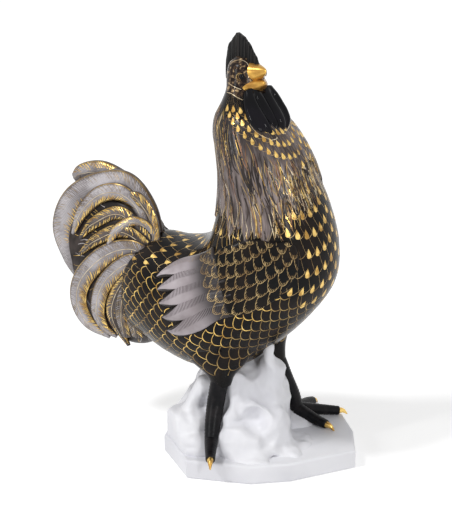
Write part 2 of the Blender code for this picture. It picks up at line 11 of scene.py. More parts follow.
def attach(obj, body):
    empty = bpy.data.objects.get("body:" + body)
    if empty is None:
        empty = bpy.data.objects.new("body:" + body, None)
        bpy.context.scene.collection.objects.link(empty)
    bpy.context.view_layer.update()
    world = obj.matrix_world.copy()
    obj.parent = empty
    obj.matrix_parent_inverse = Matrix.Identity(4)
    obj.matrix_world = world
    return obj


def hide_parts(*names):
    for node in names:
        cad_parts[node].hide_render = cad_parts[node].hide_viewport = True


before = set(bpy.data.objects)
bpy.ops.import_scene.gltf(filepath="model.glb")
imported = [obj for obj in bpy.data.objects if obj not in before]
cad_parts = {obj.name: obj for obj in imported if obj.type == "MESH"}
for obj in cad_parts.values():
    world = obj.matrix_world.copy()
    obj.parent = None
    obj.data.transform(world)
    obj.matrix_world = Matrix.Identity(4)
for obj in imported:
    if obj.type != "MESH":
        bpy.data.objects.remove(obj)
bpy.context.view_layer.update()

MM = 0.001
NODE = "rooster_figurine"
random.seed(7)

# Camera: how far round from the bird's right side, how high, how far, where it looks and its lens
CAMERA_AZIMUTH = math.radians(25.0)
CAMERA_ELEVATION = math.radians(18.0)
CAMERA_DISTANCE = 1.25
CAMERA_TARGET = Vector((-0.043, 0.0115, 0.181))
CAMERA_LENS = 98.7
WORLD_LIGHT = 0.42
FLOOR_GLOW = 0.4
SUN_POWER = 1.1
STRIP_POWER = 4.0

# Forms, with the same values as the solid model
PLINTH_LENGTH = 180.0
PLINTH_WIDTH = 166.0
PLINTH_THICKNESS = 18.0
PLINTH_EDGE_ROUND = 2.5
PLINTH_OUTLINE = [
    (-0.42, -0.99), (0.2, -0.84), (0.53, -0.6), (1.0, 0.0), (0.82, 0.46), (0.58, 0.82),
    (0.24, 1.0), (-0.39, 0.96), (-0.84, 0.58), (-1.0, 0.0), (-0.89, -0.51),
]
TORSO = [
    (-131, 148, -133, 96, 22), (-122, 170, -126, 85, 36), (-103, 179, -110, 79, 46), (-82, 178, -84, 68, 55),
    (-66, 180, -52, 61, 62), (-53, 185, -18, 66, 65), (-44, 194, 10, 87, 65), (-41, 205, 41, 118, 62),
    (-39, 219, 63, 151, 57), (-38, 236, 66, 184, 51), (-39, 253, 58, 216, 47), (-42, 269, 46, 243, 43),
    (-45, 283, 36, 265, 39), (-44, 296, 23, 285, 34), (-39, 307, 9, 299, 27), (-35, 318, -3, 311, 21),
    (-35, 329, -3, 325, 18), (-33, 339, -7, 337, 15), (-27, 345, -15, 344, 8),
]
HEAD_STATION = 15.6
HEAD_TURN = math.radians(-25.0)
HEAD_LIFT = math.radians(10.0)
COMB_LENGTH = 40.0
COMB_HEIGHT = 20.0
COMB_THICKNESS = 16.0
COMB_ROOT = 18.0
COMB_RIBS = 6
COMB_EDGE = [
    (0.0, -0.1), (0.07, 0.1), (0.2, 0.5), (0.34, 0.78), (0.44, 0.92), (0.53, 1.0),
    (0.62, 0.86), (0.72, 0.7), (0.81, 0.6), (0.9, 0.4), (1.0, -0.1),
]
BEAK_LENGTH = 20.0
UPPER_BILL_WIDTH = 24.0
LOWER_BILL_WIDTH = 34.0
BEAK_HEIGHT = 22.0
BEAK_ROOT = 8.0
EYE_FORWARD = 0.66
EYE_RISE = 6.5
EYE_RADIUS = 3.0
WATTLE_LENGTH = 42.0
WATTLE_WIDTH = 29.0
WATTLE_THICKNESS = 17.0
WATTLE_FOLD = 0.42
WATTLE_SWELL = [(0.55,), (0.8,), (0.93,), (1.0,), (0.86,), (0.2,)]
TAIL_FAN = [
    (-92, 84, 170, 34), (-106, 74, 184, 29), (-122, 67, 198, 24), (-140, 67, 206, 19),
    (-157, 75, 207, 15), (-172, 87, 201, 12), (-186, 105, 191, 9), (-197, 127, 179, 6),
]
MIDDLE_PLUME_THICKNESS = 11.0
MAIN_SICKLE = [
    (-104, -1, 168, 6), (-114, -1, 200, 8), (-135, -1, 222, 9), (-165, -1, 217, 11),
    (-192, -1, 198, 13), (-204, -1, 170, 13), (-198, -1, 142, 9), (-190, -1, 120, 2),
]
FAR_SICKLE = [
    (-106, 4, 165, 6), (-118, 7, 195, 7), (-140, 12, 215, 8), (-168, 15, 224, 10), (-190, 15, 221, 9),
    (-200, 14, 215, 5),
]
FRONT_PLUME = [(-102, 2, 165, 8), (-114, 2, 193, 7), (-126, 2, 215, 7), (-139, 2, 228, 3)]
SIDE_PLUME_THICKNESS = 6.0
SIDE_PLUME_OUT = 7.0
BOTH_SIDES = {
    "second_sickle": [
        (-107, -2, 165, 5), (-119, 0, 196, 6), (-137, 2, 212, 8), (-160, 3, 209, 8),
        (-180, 3, 190, 6), (-190, 3, 168, 2),
    ],
    "inner_quill": [(-98, -2, 164, 6), (-130, 2, 180, 7), (-160, 2, 168, 6), (-182, 2, 150, 2)],
    "lower_sickle": [
        (-96, -2, 158, 6), (-120, 2, 167, 8), (-150, 3, 155, 10), (-178, 3, 128, 10), (-188, 3, 102, 9),
        (-178, 3, 82, 7), (-155, 3, 70, 2),
    ],
    "inner_sickle": [
        (-96, -2, 152, 6), (-120, 3, 155, 8), (-150, 4, 130, 8), (-163, 4, 100, 7.5),
        (-160, 4, 80, 5), (-147, 4, 72, 2),
    ],
    "side_plume": [(-120, 2, 145, 5), (-138, 2, 120, 7), (-145, 2, 95, 7), (-135, 2, 65, 2)],
    "under_covert": [(-95, 2, 162, 6), (-112, 2, 135, 8), (-120, 2, 105, 8), (-120, 2, 80, 6)],
}
RIGHT_SIDE = {
    "upper_covert": [(-98, 0, 165, 6), (-108, 2, 190, 6), (-120, 3, 208, 6), (-132, 4, 214, 2)],
    "upper_quill": [(-100, -2, 168, 6), (-135, 1, 194, 7), (-165, 1, 182, 6), (-182, 1, 165, 2)],
    "hook": [(-98, -2, 166, 4), (-108, 3, 183, 5), (-122, 4, 190, 5), (-138, 4, 180, 5), (-147, 4, 165, 2)],
    "front_covert": [(-90, 1, 156, 7), (-100, 1, 132, 8), (-106, 1, 84, 6)],
    "rear_covert": [(-106, 1, 155, 7), (-126, 1, 130, 8), (-134, 1, 100, 8), (-135, 1, 76, 5)],
}
DARK_PLUMES = ("side_plume", "inner_quill", "upper_quill")
TWO_EDGED_PLUMES = (*DARK_PLUMES, "far_sickle", "front_plume", "upper_covert", "hook")
WING_RELIEF = 3.6
FLIGHT_FEATHERS = 5
TOP_FLIGHT = [(6.9, -1.0, 8), (5.5, -0.8, 9), (4.4, -0.75, 9), (3.6, -0.85, 6.5), (3.0, -1.0, 1.5)]
LOW_FLIGHT = [(6.7, -1.8, 7), (5.8, -1.6, 8), (4.9, -1.6, 8), (4.2, -1.7, 6), (3.7, -1.75, 1.5)]
WING_SHOULDER = [(9.1, -2.15, 5), (8.6, -2.0, 19), (7.9, -1.75, 28), (7.2, -1.55, 30), (6.6, -1.4, 27)]
HACKLE_RELIEF = 2.2
HACKLE_TIPS = 20
HACKLE_TOP = 14.4
HACKLE_STAGGER = 0.35
HACKLE_FILL = 0.55
HACKLE_SHAPE = [(0.0, 1.1, 0.1), (0.3, 1.3, 0.45), (0.62, 1.45, 0.9), (0.85, 1.1, 1.0), (1.0, 0.15, 0.6)]
HACKLE_EDGE = [(0.0, 7.2), (0.9, 8.0), (1.5, 8.0), (2.0, 9.3), (2.5, 10.5), (3.15, 11.6)]
ROOT_SHARE = 0.45
ROOT_DEPTH = 5.0
NEAR_THIGH = [
    (-40, -22, 116, 50, 32), (-36, -29, 95, 41, 27), (-31, -34, 80, 28, 19), (-26, -37, 68, 14, 12),
    (-24, -38, 58, 8.5, 8.5),
]
NEAR_SHANK = [(-25, -38, 68), (-27, -43, 45), (-26, -52, 28), (-23, -62, 14)]
NEAR_TOES = [[(-23, -62, 14), (-18, -74, 10), (-13, -85, 7)]]
FAR_THIGH = [(-24, 28, 116, 34, 26), (-15, 31, 92, 25, 20), (-8, 32, 74, 15, 13), (-1, 32, 58, 8.5, 8)]
FAR_SHANK = [(-1, 32, 62), (7, 33, 42), (14, 35, 26), (18, 37, 12)]
FAR_TOES = [
    [(18, 37, 12), (37, 34, 6), (50, 31, 4)],
    [(18, 37, 12), (36, 54, 7), (49, 65, 4)],
    [(18, 37, 12), (20, 56, 10), (22, 67, 8)],
]
SHANK_RADIUS = 7.0
SHANK_SWELL = (1.1, 1.1, 1.0, 0.85)
TOE_RADIUS = 4.4
TOE_TAPER = (1.35, 1.1, 0.9)
CLAW_LENGTH = 9.0
CLAW_TAPER = (0.75, 0.5, 0.12)
ROCKS = [
    (-21, 0, 16, 48, 42, 62), (11, -8, 58, 13, 15, 29), (-56, -8, 14, 27, 28, 25), (-57, -38, 8, 27, 25, 26),
    (-44, -58, -2, 28, 18, 17), (16, -22, 13, 25, 23, 25), (40, -28, -4, 14, 14, 10),
    (32, -8, -4, 22, 24, 13), (-4, -44, 6, 26, 23, 21), (8, -56, -4, 26, 15, 12), (8, 44, -5, 35, 30, 17),
    (-38, 34, 10, 42, 36, 32), (-12, 56, -2, 34, 20, 16), (-62, 20, 4, 24, 28, 26),
]
ROCK_RIDGES = [
    ([(-4, -34, 32), (2, -36, 41), (14, -32, 38), (24, -31, 26), (31, -31, 10)], 6.5),
    ([(12, -16, 90), (13, -16, 76), (15, -15, 60), (18, -14, 42)], 6.5),
    ([(-14, -32, 62), (-12, -36, 42), (-14, -44, 26)], 8.0),
    ([(-46, -28, 50), (-52, -34, 38), (-60, -44, 26), (-62, -56, 10)], 9.0),
    ([(4, -46, 18), (12, -50, 14), (20, -46, 8), (30, -40, 4)], 6.0),
    ([(-60, 4, 46), (-68, 0, 30), (-76, -8, 12)], 9.0),
    ([(-30, 40, 50), (-34, 52, 30), (-30, 62, 10)], 8.0),
]
ROCK_CREASE_DEPTH = 2.4
ROCK_CREASE_SPACING = 40.0
ROCK_GRAIN = 1.8

# Painting: lifts and pitches in millimetres, feet, tops and steps in stations, edges and turns in radians
PAINT_LIFT = 0.12
STEP_RATIO = 1.6
STEP_SLACK = 0.4
SCALE_COLUMNS = 27
SCALE_PITCH = 6.7
BREAST_COLUMNS = 18
BREAST_PITCH = 8.4
BREAST_FOOT = 7.8
SADDLE_EDGE = 0.95
COVERT_COLUMNS = 10
COVERT_ROWS = 13
COVERT_TOP = 9.6
COVERT_STEP = 0.28
COVERT_TURN = 0.19
NECK_COLUMNS = 22
NECK_PITCH = 5.6
# Drops: middle over the scallop's foot, width as a share of the cell, greatest width and length
SADDLE_DROP = (3.2, 0.42, 4.6, 7.2)
BREAST_DROP = (4.8, 0.42, 5.4, 9.0)
NECK_DROP = (3.4, 0.44, 4.2, 6.8)
FAN_ROOT = (-92.0, 0.0, 160.0)
FAN_STROKES = 260
# The lowest station of the throat's drops, by angle from the back of the neck
NECK_EDGE = [(1.1, 14.2), (1.3, 13.4), (1.6, 12.75), (1.9, 12.25), (2.35, 12.05), (3.15, 11.9)]
HACKLE_STROKES = 900
# Thin lines round the face, by station and angle on the bird's left side; the right side mirrors them
FACE_LINES = [
    [(14.95, 0.9), (15.05, 1.3), (14.95, 1.65), (14.85, 1.95), (14.8, 2.2)],
    [(17.4, 0.9), (17.65, 1.3), (17.78, 1.7), (17.6, 2.2), (17.1, 2.35)],
    [(15.65, 0.95), (15.6, 1.2), (15.55, 1.5), (15.5, 1.85)],
]


# Filled while the forms are built, and read by the painting
SURFACES = []
PLUMES = []
WATTLE_EDGES = []


# Geometry

def place(point):
    """A point in millimetres over the plinth's top, in the row frame in metres."""
    return Vector((point[0] * MM, point[1] * MM, (point[2] + PLINTH_THICKNESS) * MM))


def through(points, at):
    """Catmull-Rom curve through rows of numbers; at counts rows, so 1.5 is half way between rows 1 and 2."""
    rows = np.asarray(points, float)
    rows = np.vstack([2 * rows[0] - rows[1], rows, 2 * rows[-1] - rows[-2]])
    at = np.clip(np.atleast_1d(np.asarray(at, float)), 0, len(points) - 1)
    i = np.minimum(at.astype(int), len(points) - 2)
    t = (at - i)[:, None]
    a, b, c, d = (rows[i + k] for k in range(4))
    return 0.5 * (2 * b + (c - a) * t + (2 * a - 5 * b + 4 * c - d) * t**2 + (3 * b - a - 3 * c + d) * t**3)


def along(rows, steps_each):
    """The same curve read at even steps from end to end."""
    return through(rows, np.linspace(0, len(rows) - 1, (len(rows) - 1) * steps_each + 1))


norm = np.linalg.norm


def unit(vectors):
    return vectors / np.maximum(norm(vectors, axis=-1, keepdims=True), 1e-9)


def circle(sides):
    return np.arange(sides) * 2 * math.pi / sides


def link(obj):
    bpy.context.scene.collection.objects.link(obj)


def finish_piece(name, mesh, material):
    mesh.materials.clear()
    mesh.materials.append(material)
    for polygon in mesh.polygons:
        polygon.use_smooth = True
    obj = bpy.data.objects.new(name, mesh)
    link(obj)
    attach(obj, "root")
    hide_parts(NODE)


def write_marks(mesh, marks):
    """Stores three numbers a point, which its material reads as the attribute "marks"."""
    layer = mesh.attributes.new("marks", "FLOAT_VECTOR", "POINT")
    layer.data.foreach_set("vector", np.asarray(marks, np.float32).ravel())


def skin_faces(count, sides):
    """Bands between rings, then a fan over each end, round the two points that follow the rings."""
    i = np.arange(sides)
    j = (i + 1) % sides
    band = np.stack([i, j, j + sides, i + sides], 1)
    faces = [face for k in range(count - 1) for face in (band + k * sides).tolist()]
    last, end = (count - 1) * sides, count * sides
    faces += [(b, a, end) for a, b in zip(i.tolist(), j.tolist())]
    faces += [(last + a, last + b, end + 1) for a, b in zip(i.tolist(), j.tolist())]
    return faces


def skin(name, rings, material, marks=None, painted=None):
    """A smooth closed skin over rings of equal count. painted names it as a ground that motifs may lie on."""
    rings = np.asarray(rings, float)
    count, sides = rings.shape[:2]
    marks = np.zeros_like(rings) if marks is None else np.broadcast_to(marks, rings.shape)
    points = np.vstack([rings.reshape(-1, 3), rings[0].mean(axis=0), rings[-1].mean(axis=0)])
    values = np.vstack([marks.reshape(-1, 3), marks[0].mean(axis=0), marks[-1].mean(axis=0)])
    faces = skin_faces(count, sides)
    if painted:
        SURFACES.append((painted, points, faces))
    mesh = bpy.data.meshes.new(name)
    mesh.from_pydata([place(p) for p in points], [], faces)
    write_marks(mesh, values)
    bm = bmesh.new()
    bm.from_mesh(mesh)
    bmesh.ops.recalc_face_normals(bm, faces=bm.faces)
    bm.to_mesh(mesh)
    bm.free()
    finish_piece(name, mesh, material)


def tube(name, path, radii, material, sides=24, steps_each=10, rings_deep=0.0, rings_every=3.0):
    """A round bar along a curve; rings_deep gives it the scutes of a bird's leg."""
    rows = along([(*point, radius) for point, radius in zip(path, radii)], steps_each)
    centre, radius = rows[:, :3], rows[:, 3]
    quill = unit(np.gradient(centre, axis=0))
    side = unit(np.cross(quill, (0.31, 0.2, 0.93) if abs(quill[0][2]) < 0.8 else (0.93, 0.2, 0.31)))
    up = np.cross(side, quill)
    swell = 1 + rings_deep * np.abs(np.sin(math.pi * run_lengths(centre) / rings_every))
    turns = circle(sides)
    spread = side[:, None] * np.cos(turns)[None, :, None] + up[:, None] * np.sin(turns)[None, :, None]
    rings = centre[:, None] + spread * (radius * swell)[:, None, None]
    skin(name, rings, material)


def torso_point(station, angle):
    """A point of the torso; angle 0 is the back, pi the breast, and positive angles the bird's left side."""
    station, angle = np.broadcast_arrays(np.asarray(station, float), np.asarray(angle, float))
    row = through(TORSO, station.ravel())
    back, front = row[:, 0:2], row[:, 2:4]
    turn = angle.ravel()
    flat = (back + front) / 2 + (back - front) / 2 * np.cos(turn)[:, None]
    across = row[:, 4] * np.sin(turn)
    return np.stack([flat[:, 0], across, flat[:, 1]], axis=1).reshape(*station.shape, 3)


def torso_normal(station, angle):
    step = 0.02
    up = torso_point(station + step, angle) - torso_point(station - step, angle)
    around = torso_point(station, angle + step) - torso_point(station, angle - step)
    return unit(np.cross(up, around))


def blade(centre, half, across, face, depth, sides):
    """One cross-section of a feather: a flat lens with a raised quill in its middle."""
    turns = circle(sides)
    quill = 1 + 0.22 * np.exp(-((np.cos(turns) / 0.13) ** 2))
    flat = np.cos(turns)[:, None] * half * across
    return centre + flat + (np.sin(turns) * quill)[:, None] * depth * face


def blade_marks(lengths, sides, third):
    """Length along the quill, place across it from -1 to 1, and a third number of the caller's."""
    across = np.cos(circle(sides))
    marks = np.zeros((len(lengths), sides, 3))
    marks[:, :, 0] = np.asarray(lengths)[:, None]
    marks[:, :, 1] = across[None, :]
    marks[:, :, 2] = np.asarray(third).reshape(-1, 1)
    return marks


def run_lengths(points):
    return np.concatenate([[0], np.cumsum(norm(np.diff(points, axis=0), axis=1))])


def plume(name, rows, thickness, material, facing=(-1, 1)):
    """A tail feather. facing says which of its sides show: -1 the bird's right side, 1 its left side."""
    path = along(rows, 14)
    centre = path[:, :3]
    half = np.maximum(path[:, 3], 1.0)
    quill = unit(np.gradient(centre, axis=0))
    across = unit(np.cross(quill, (0.0, 1.0, 0.0)))
    face = unit(np.cross(across, quill))
    depth = np.minimum(thickness / 2, half * 0.7)
    sides = 36
    rings = [blade(c, h, a, f, d, sides) for c, h, a, f, d in zip(centre, half, across, face, depth)]
    lengths = run_lengths(centre)
    PLUMES.append((name, facing, centre, quill, across, face, half, lengths))
    skin(name, rings, material, blade_marks(lengths, sides, lengths / lengths[-1]), name)


def fan_half(x, z):
    xs, low, high, half = np.array(TAIL_FAN, float)[::-1].T
    low, high, half = (float(np.interp(x, xs, column)) for column in (low, high, half))
    rise = (z - (low + high) / 2) / ((high - low) / 2)
    return half * math.sqrt(max(1 - rise**2, 0)) if x > xs[0] else 0.0


def build_tail(paint):
    turns = circle(64)
    fan = along(TAIL_FAN, 8)
    rings = [[(x, half * math.cos(t), (low + high) / 2 + (high - low) / 2 * math.sin(t)) for t in turns]
             for x, low, high, half in fan]
    skin("tail_fan", rings, paint["tail_ground"], painted="tail_fan")
    plume("main_sickle", MAIN_SICKLE, MIDDLE_PLUME_THICKNESS, paint["sickle"])
    plume("far_sickle", FAR_SICKLE, MIDDLE_PLUME_THICKNESS, paint["sickle"])
    plume("front_plume", FRONT_PLUME, MIDDLE_PLUME_THICKNESS, paint["dark_plume"])
    for side, label in ((-1, "right"), (1, "left")):
        feathers = {**BOTH_SIDES, **RIGHT_SIDE} if side < 0 else BOTH_SIDES
        for name, rows in feathers.items():
            lying = [(x, side * max(fan_half(x, z) + over, SIDE_PLUME_OUT), z, half)
                     for x, over, z, half in rows]
            kind = "dark_plume" if name in DARK_PLUMES else "tail_covert" if "covert" in name else "sickle"
            plume(f"{label}_{name}", lying, SIDE_PLUME_THICKNESS, paint[kind], (side,))


def on_torso(name, rows, relief, material, sides=36, side=1, steps_each=10, painted=None):
    """A feather that lies on the torso: station, angle, half width and share of the relief."""
    rows = [(*row, 1.0) if len(row) < 4 else tuple(row) for row in rows]
    path = along(rows, steps_each)
    centre = torso_point(path[:, 0], path[:, 1])
    normal = torso_normal(path[:, 0], path[:, 1])
    across = unit(np.cross(unit(np.gradient(centre, axis=0)), normal))
    flip = np.array([1, side, 1])
    rings = []
    for c, n, a, half, lift in zip(centre, normal, across, np.maximum(path[:, 2], 1.0), path[:, 3]):
        sunk = c + n * min(lift - ROOT_SHARE, 0) * ROOT_DEPTH
        rings.append(blade(sunk, half, a, n, min(lift * relief, half), sides) * flip)
    lengths = run_lengths(centre)
    skin(name, rings, material, blade_marks(lengths, sides, lengths / lengths[-1]), painted)


def build_body(paint):
    stations = np.linspace(0, len(TORSO) - 1, 260)
    angles = circle(180)
    rings = torso_point(stations[:, None], angles[None, :])
    marks = np.zeros_like(rings)
    marks[:, :, 0] = stations[:, None]
    marks[:, :, 1] = angles[None, :]
    skin("body", rings, paint["body"], marks, "body")


def build_wings(paint):
    top, low = np.array(TOP_FLIGHT), np.array(LOW_FLIGHT)
    for side, label in ((1, "right"), (-1, "left")):
        for i in range(FLIGHT_FEATHERS):
            rows = (top + (low - top) * i / (FLIGHT_FEATHERS - 1)).tolist()
            material = paint["flight"] if i else paint["plain_flight"]
            on_torso(f"{label}_flight_{i + 1}", rows, WING_RELIEF, material, side=side, painted="flight")
        on_torso(f"{label}_shoulder", WING_SHOULDER, WING_RELIEF, paint["black"], 96, side,
                 painted="shoulder")


def build_hackle(paint):
    angles, stations = zip(*HACKLE_EDGE)
    for i in range(2 * HACKLE_TIPS):
        # The odd ones fill the gaps between the solid model's tips
        angle = math.pi * ((i + 1) / HACKLE_TIPS - 1)
        tip = float(np.interp(abs(angle), angles, stations))
        tip += HACKLE_FILL if i % 2 else HACKLE_STAGGER * (i // 2 % 2)
        rows = []
        for share, width, lift in HACKLE_SHAPE:
            station = HACKLE_TOP + (tip - HACKLE_TOP) * share
            spacing = math.pi * through(TORSO, station)[0, 4] / HACKLE_TIPS
            rows.append((station, angle, spacing * width, lift))
        on_torso(f"hackle_{i + 1}", rows, HACKLE_RELIEF, paint["hackle"], 32, 1, 14, "hackle")


def build_thigh(name, sections, paint):
    turns = circle(72)
    rings = [[(x + rx * math.cos(t), y + ry * math.sin(t), z) for t in turns]
             for x, y, z, rx, ry in along(sections, 12)]
    skin(name, rings, paint["black"], painted="thigh")


def build_leg(label, thigh, shank, toes, paint):
    build_thigh(f"{label}_thigh", thigh, paint)
    tube(f"{label}_shank", shank, [SHANK_RADIUS * k for k in SHANK_SWELL], paint["skin"], 32, 16, 0.05)
    for i, path in enumerate(toes):
        tube(f"{label}_toe_{i + 1}", path, [TOE_RADIUS * k for k in TOE_TAPER], paint["skin"], 24, 14, 0.07)
        end, before = Vector(path[-1]), Vector(path[-2])
        forward = (end - before).normalized()
        tip = end + forward * CLAW_LENGTH - Vector((0, 0, CLAW_LENGTH * 0.35))
        claw = [end - forward * TOE_RADIUS / 3, end + forward * CLAW_LENGTH / 2, tip]
        tube(f"{label}_claw_{i + 1}", claw, [TOE_RADIUS * k for k in CLAW_TAPER], paint["gold"])


def head_centre():
    back_x, back_z, front_x, front_z, half_width = through(TORSO, HEAD_STATION)[0]
    return Vector(((back_x + front_x) / 2, 0, (back_z + front_z) / 2)), (front_x - back_x) / 2, half_width


def on_head(x, y, z):
    """A point given in the head's own axes, X along the beak, as a place on the bird."""
    local = Vector((x, y, z))
    local.rotate(Matrix.Rotation(-HEAD_LIFT, 3, "Y"))
    local.rotate(Matrix.Rotation(HEAD_TURN, 3, "Z"))
    return local + head_centre()[0]


def build_comb(paint):
    steps, rows = 120, 16
    crown = TORSO[-1][1] - head_centre()[0].z
    shares, heights = zip(*COMB_EDGE)
    rings = []
    for k in range(steps + 1):
        s = k / steps
        x = COMB_LENGTH * (0.45 - s)
        top = crown + COMB_HEIGHT * float(np.interp(s, shares, heights))
        root = crown - COMB_ROOT
        taper = math.sin(math.pi * min(max(s, 0.04), 0.96)) ** 0.45
        wave = 2 * math.pi * COMB_RIBS * s
        rib = 0.8 + 0.14 * math.cos(wave) + 0.06 * math.cos(3 * wave)
        side = []
        for j in range(rows + 1):
            half = COMB_THICKNESS / 2 * taper * rib * (1 - 0.75 * (j / rows) ** 1.5)
            side.append((half, root + (top - root) * j / rows))
        ring = [(x, half, z) for half, z in side] + [(x, -half, z) for half, z in reversed(side)]
        rings.append([on_head(*point) for point in ring])
    marks = np.zeros((steps + 1, 2 * rows + 2, 3))
    marks[:, :, 0] = (np.arange(steps + 1) * COMB_LENGTH / steps)[:, None]
    skin("comb", rings, paint["comb"], marks)


def build_bill(name, width, middle, rise, height, length, paint):
    start = head_centre()[1] - BEAK_ROOT
    turns = circle(40)
    rings = []
    for k in range(31):
        s = k / 30
        half_width = width / 2 * (1 - s) ** 0.8 + 0.6
        half_height = height * (1 - s) ** 0.75 + 1.0
        z = middle + rise * s * s
        rings.append([on_head(start + length * s, half_width * math.cos(t), z + half_height * math.sin(t))
                      for t in turns])
    skin(name, rings, paint["beak"])


def build_eye(label, side, paint):
    turns = circle(24)
    half_length, half_width = head_centre()[1:]
    forward = half_length * EYE_FORWARD
    out = half_width * math.sqrt(1 - EYE_FORWARD**2) - EYE_RADIUS * 0.75
    rings = []
    for k in range(13):
        lift = math.pi * (0.02 + 0.96 * k / 12)
        ring_radius, depth = EYE_RADIUS * math.sin(lift), EYE_RADIUS * math.cos(lift)
        rings.append([on_head(forward + ring_radius * math.cos(t), side * (out + depth),
                              EYE_RISE + ring_radius * math.sin(t)) for t in turns])
    skin(f"{label}_eye", rings, paint["glossy"])
    lid = []
    for t in np.append(turns, turns[0]):
        x = forward + 2.2 * math.cos(t)
        y = half_width * math.sqrt(1 - (x / half_length) ** 2) + 0.2
        lid.append(tuple(on_head(x, side * y, EYE_RISE + 2.8 * math.sin(t))))
    tube(f"{label}_eye_ring", lid, [0.4] * len(lid), paint["dull_gold"], 10, 3)


def build_head(paint):
    build_comb(paint)
    tall, reach = BEAK_HEIGHT, BEAK_LENGTH
    short = reach * 0.84
    build_bill("upper_bill", UPPER_BILL_WIDTH, tall * 0.36, tall * 0.05, tall * 0.46, reach, paint)
    build_bill("lower_bill", LOWER_BILL_WIDTH, tall * -0.14, tall * 0.1, tall * 0.36, short, paint)
    for side, label, length in ((-1, "right", WATTLE_LENGTH), (1, "left", WATTLE_LENGTH * 0.92)):
        build_eye(label, side, paint)
        build_wattle(label, side, length, paint)


def build_wattle(label, side, length, paint):
    """A lobe that hangs from the bill, with soft folds down it."""
    turns = circle(72)
    rings, left, right = [], [], []
    for k in range(65):
        s = math.sin(math.pi / 2 * k / 64)
        x, y, z = 13 + 11 * s + 9 * s * s, side * (7.5 - 1.75 * s * s) + 1.5, -6 - length * s
        swell = through(WATTLE_SWELL, s * (len(WATTLE_SWELL) - 1))[0, 0]
        ring = []
        for t in turns:
            wave = 0.5 - 0.5 * math.cos(6 * t + 2.2 * s + side)
            fold = 1 - WATTLE_FOLD * wave**2 * min(1.0, 4 * s) * max(math.sin(t), 0)
            out = WATTLE_WIDTH / 2 * swell * math.cos(t)
            deep = WATTLE_THICKNESS / 2 * swell * math.sin(t) * fold
            ring.append(on_head(x + deep, y + out, z + deep / 2))
        rings.append(ring)
        left.append((x, y + WATTLE_WIDTH / 2 * swell, z))
        right.append((x, y - WATTLE_WIDTH / 2 * swell, z))
    outer, inner = (right, left) if side < 0 else (left, right)
    WATTLE_EDGES.append(outer[20:] + inner[:54:-1])
    skin(f"{label}_wattle", rings, paint["glossy"])


def crease(point):
    """How far the clay stands out: broad folds with sharp crests, and finer ones between them."""
    p = point / (ROCK_CREASE_SPACING * MM)
    folds = 1 - 4 * abs(noise.noise(p + Vector((3.1, 0.0, 7.7))))
    fine = 1.9 * abs(noise.noise(p * 1.9)) + 0.9 * abs(noise.noise(p * 3.7))
    return 0.8 * folds + 0.2 * noise.noise(p * 2.2) - fine


def plinth_corners():
    return [(x * PLINTH_LENGTH / 2, y * PLINTH_WIDTH / 2) for x, y in PLINTH_OUTLINE]


def hold_on_plinth(point, corners):
    x, y, z = point / MM
    shrink = 1.0
    for (ax, ay), (bx, by) in zip(corners, corners[1:] + corners[:1]):
        reach = Vector((by - ay, ax - bx)).normalized()
        edge = reach.dot(Vector((ax, ay))) - PLINTH_EDGE_ROUND
        out = reach.dot(Vector((x, y)))
        if out > edge:
            shrink = min(shrink, edge / out)
    return Vector((x * shrink, y * shrink, max(z, PLINTH_THICKNESS / 2))) * MM


def evaluated(obj):
    """The mesh that an unlinked object's curve or modifiers make; the object goes."""
    link(obj)
    bpy.context.view_layer.update()
    mesh = bpy.data.meshes.new_from_object(obj.evaluated_get(bpy.context.evaluated_depsgraph_get()))
    mesh.transform(obj.matrix_world)
    bpy.data.objects.remove(obj)
    return mesh


def build_rock(paint):
    bm = bmesh.new()
    for x, y, z, rx, ry, rz in ROCKS:
        shape = Matrix.LocRotScale(place((x, y, z)), None, Vector((rx, ry, rz)) * MM)
        bmesh.ops.create_icosphere(bm, subdivisions=4, radius=1.0, matrix=shape)
    for path, radius in ROCK_RIDGES:
        for point in along(path, 10):
            bmesh.ops.create_icosphere(bm, subdivisions=2, radius=radius * MM,
                                       matrix=Matrix.Translation(place(point)))
    clay = bpy.data.objects.new("rock_lumps", bpy.data.meshes.new("rock_lumps"))
    bm.to_mesh(clay.data)
    bm.free()
    press = clay.modifiers.new("press", "REMESH")
    press.mode = "VOXEL"
    press.voxel_size = ROCK_GRAIN * MM
    soften = clay.modifiers.new("soften", "SMOOTH")
    soften.factor = 0.6
    soften.iterations = 14
    mesh = evaluated(clay)
    normals = [vert.normal.copy() for vert in mesh.vertices]
    corners = plinth_corners()
    for vert, normal in zip(mesh.vertices, normals):
        vert.co = hold_on_plinth(vert.co + normal * ROCK_CREASE_DEPTH * MM * crease(vert.co), corners)
    rock = bpy.data.objects.new("rock", mesh)
    soften = rock.modifiers.new("soften", "SMOOTH")
    soften.factor = 0.5
    soften.iterations = 4
    finish_piece("rock_support", evaluated(rock), paint["white"])


def build_plinth(paint):
    curve = bpy.data.curves.new("plinth_outline", "CURVE")
    curve.dimensions = "2D"
    curve.fill_mode = "BOTH"
    curve.extrude = (PLINTH_THICKNESS / 2 - PLINTH_EDGE_ROUND) * MM
    curve.bevel_depth = PLINTH_EDGE_ROUND * MM
    curve.bevel_resolution = 6
    curve.offset = -PLINTH_EDGE_ROUND * MM
    corners = plinth_corners()
    spline = curve.splines.new("POLY")
    spline.points.add(len(corners) - 1)
    for point, (x, y) in zip(spline.points, corners):
        point.co = (x * MM, y * MM, 0, 1)
    spline.use_cyclic_u = True
    slab = bpy.data.objects.new("plinth_curve", curve)
    slab.location.z = PLINTH_THICKNESS / 2 * MM
    mesh = evaluated(slab)
    finish_piece("plinth", mesh, paint["white"])
    mesh.set_sharp_from_angle(angle=math.radians(35))


# Painted motifs, laid on the surfaces as thin films

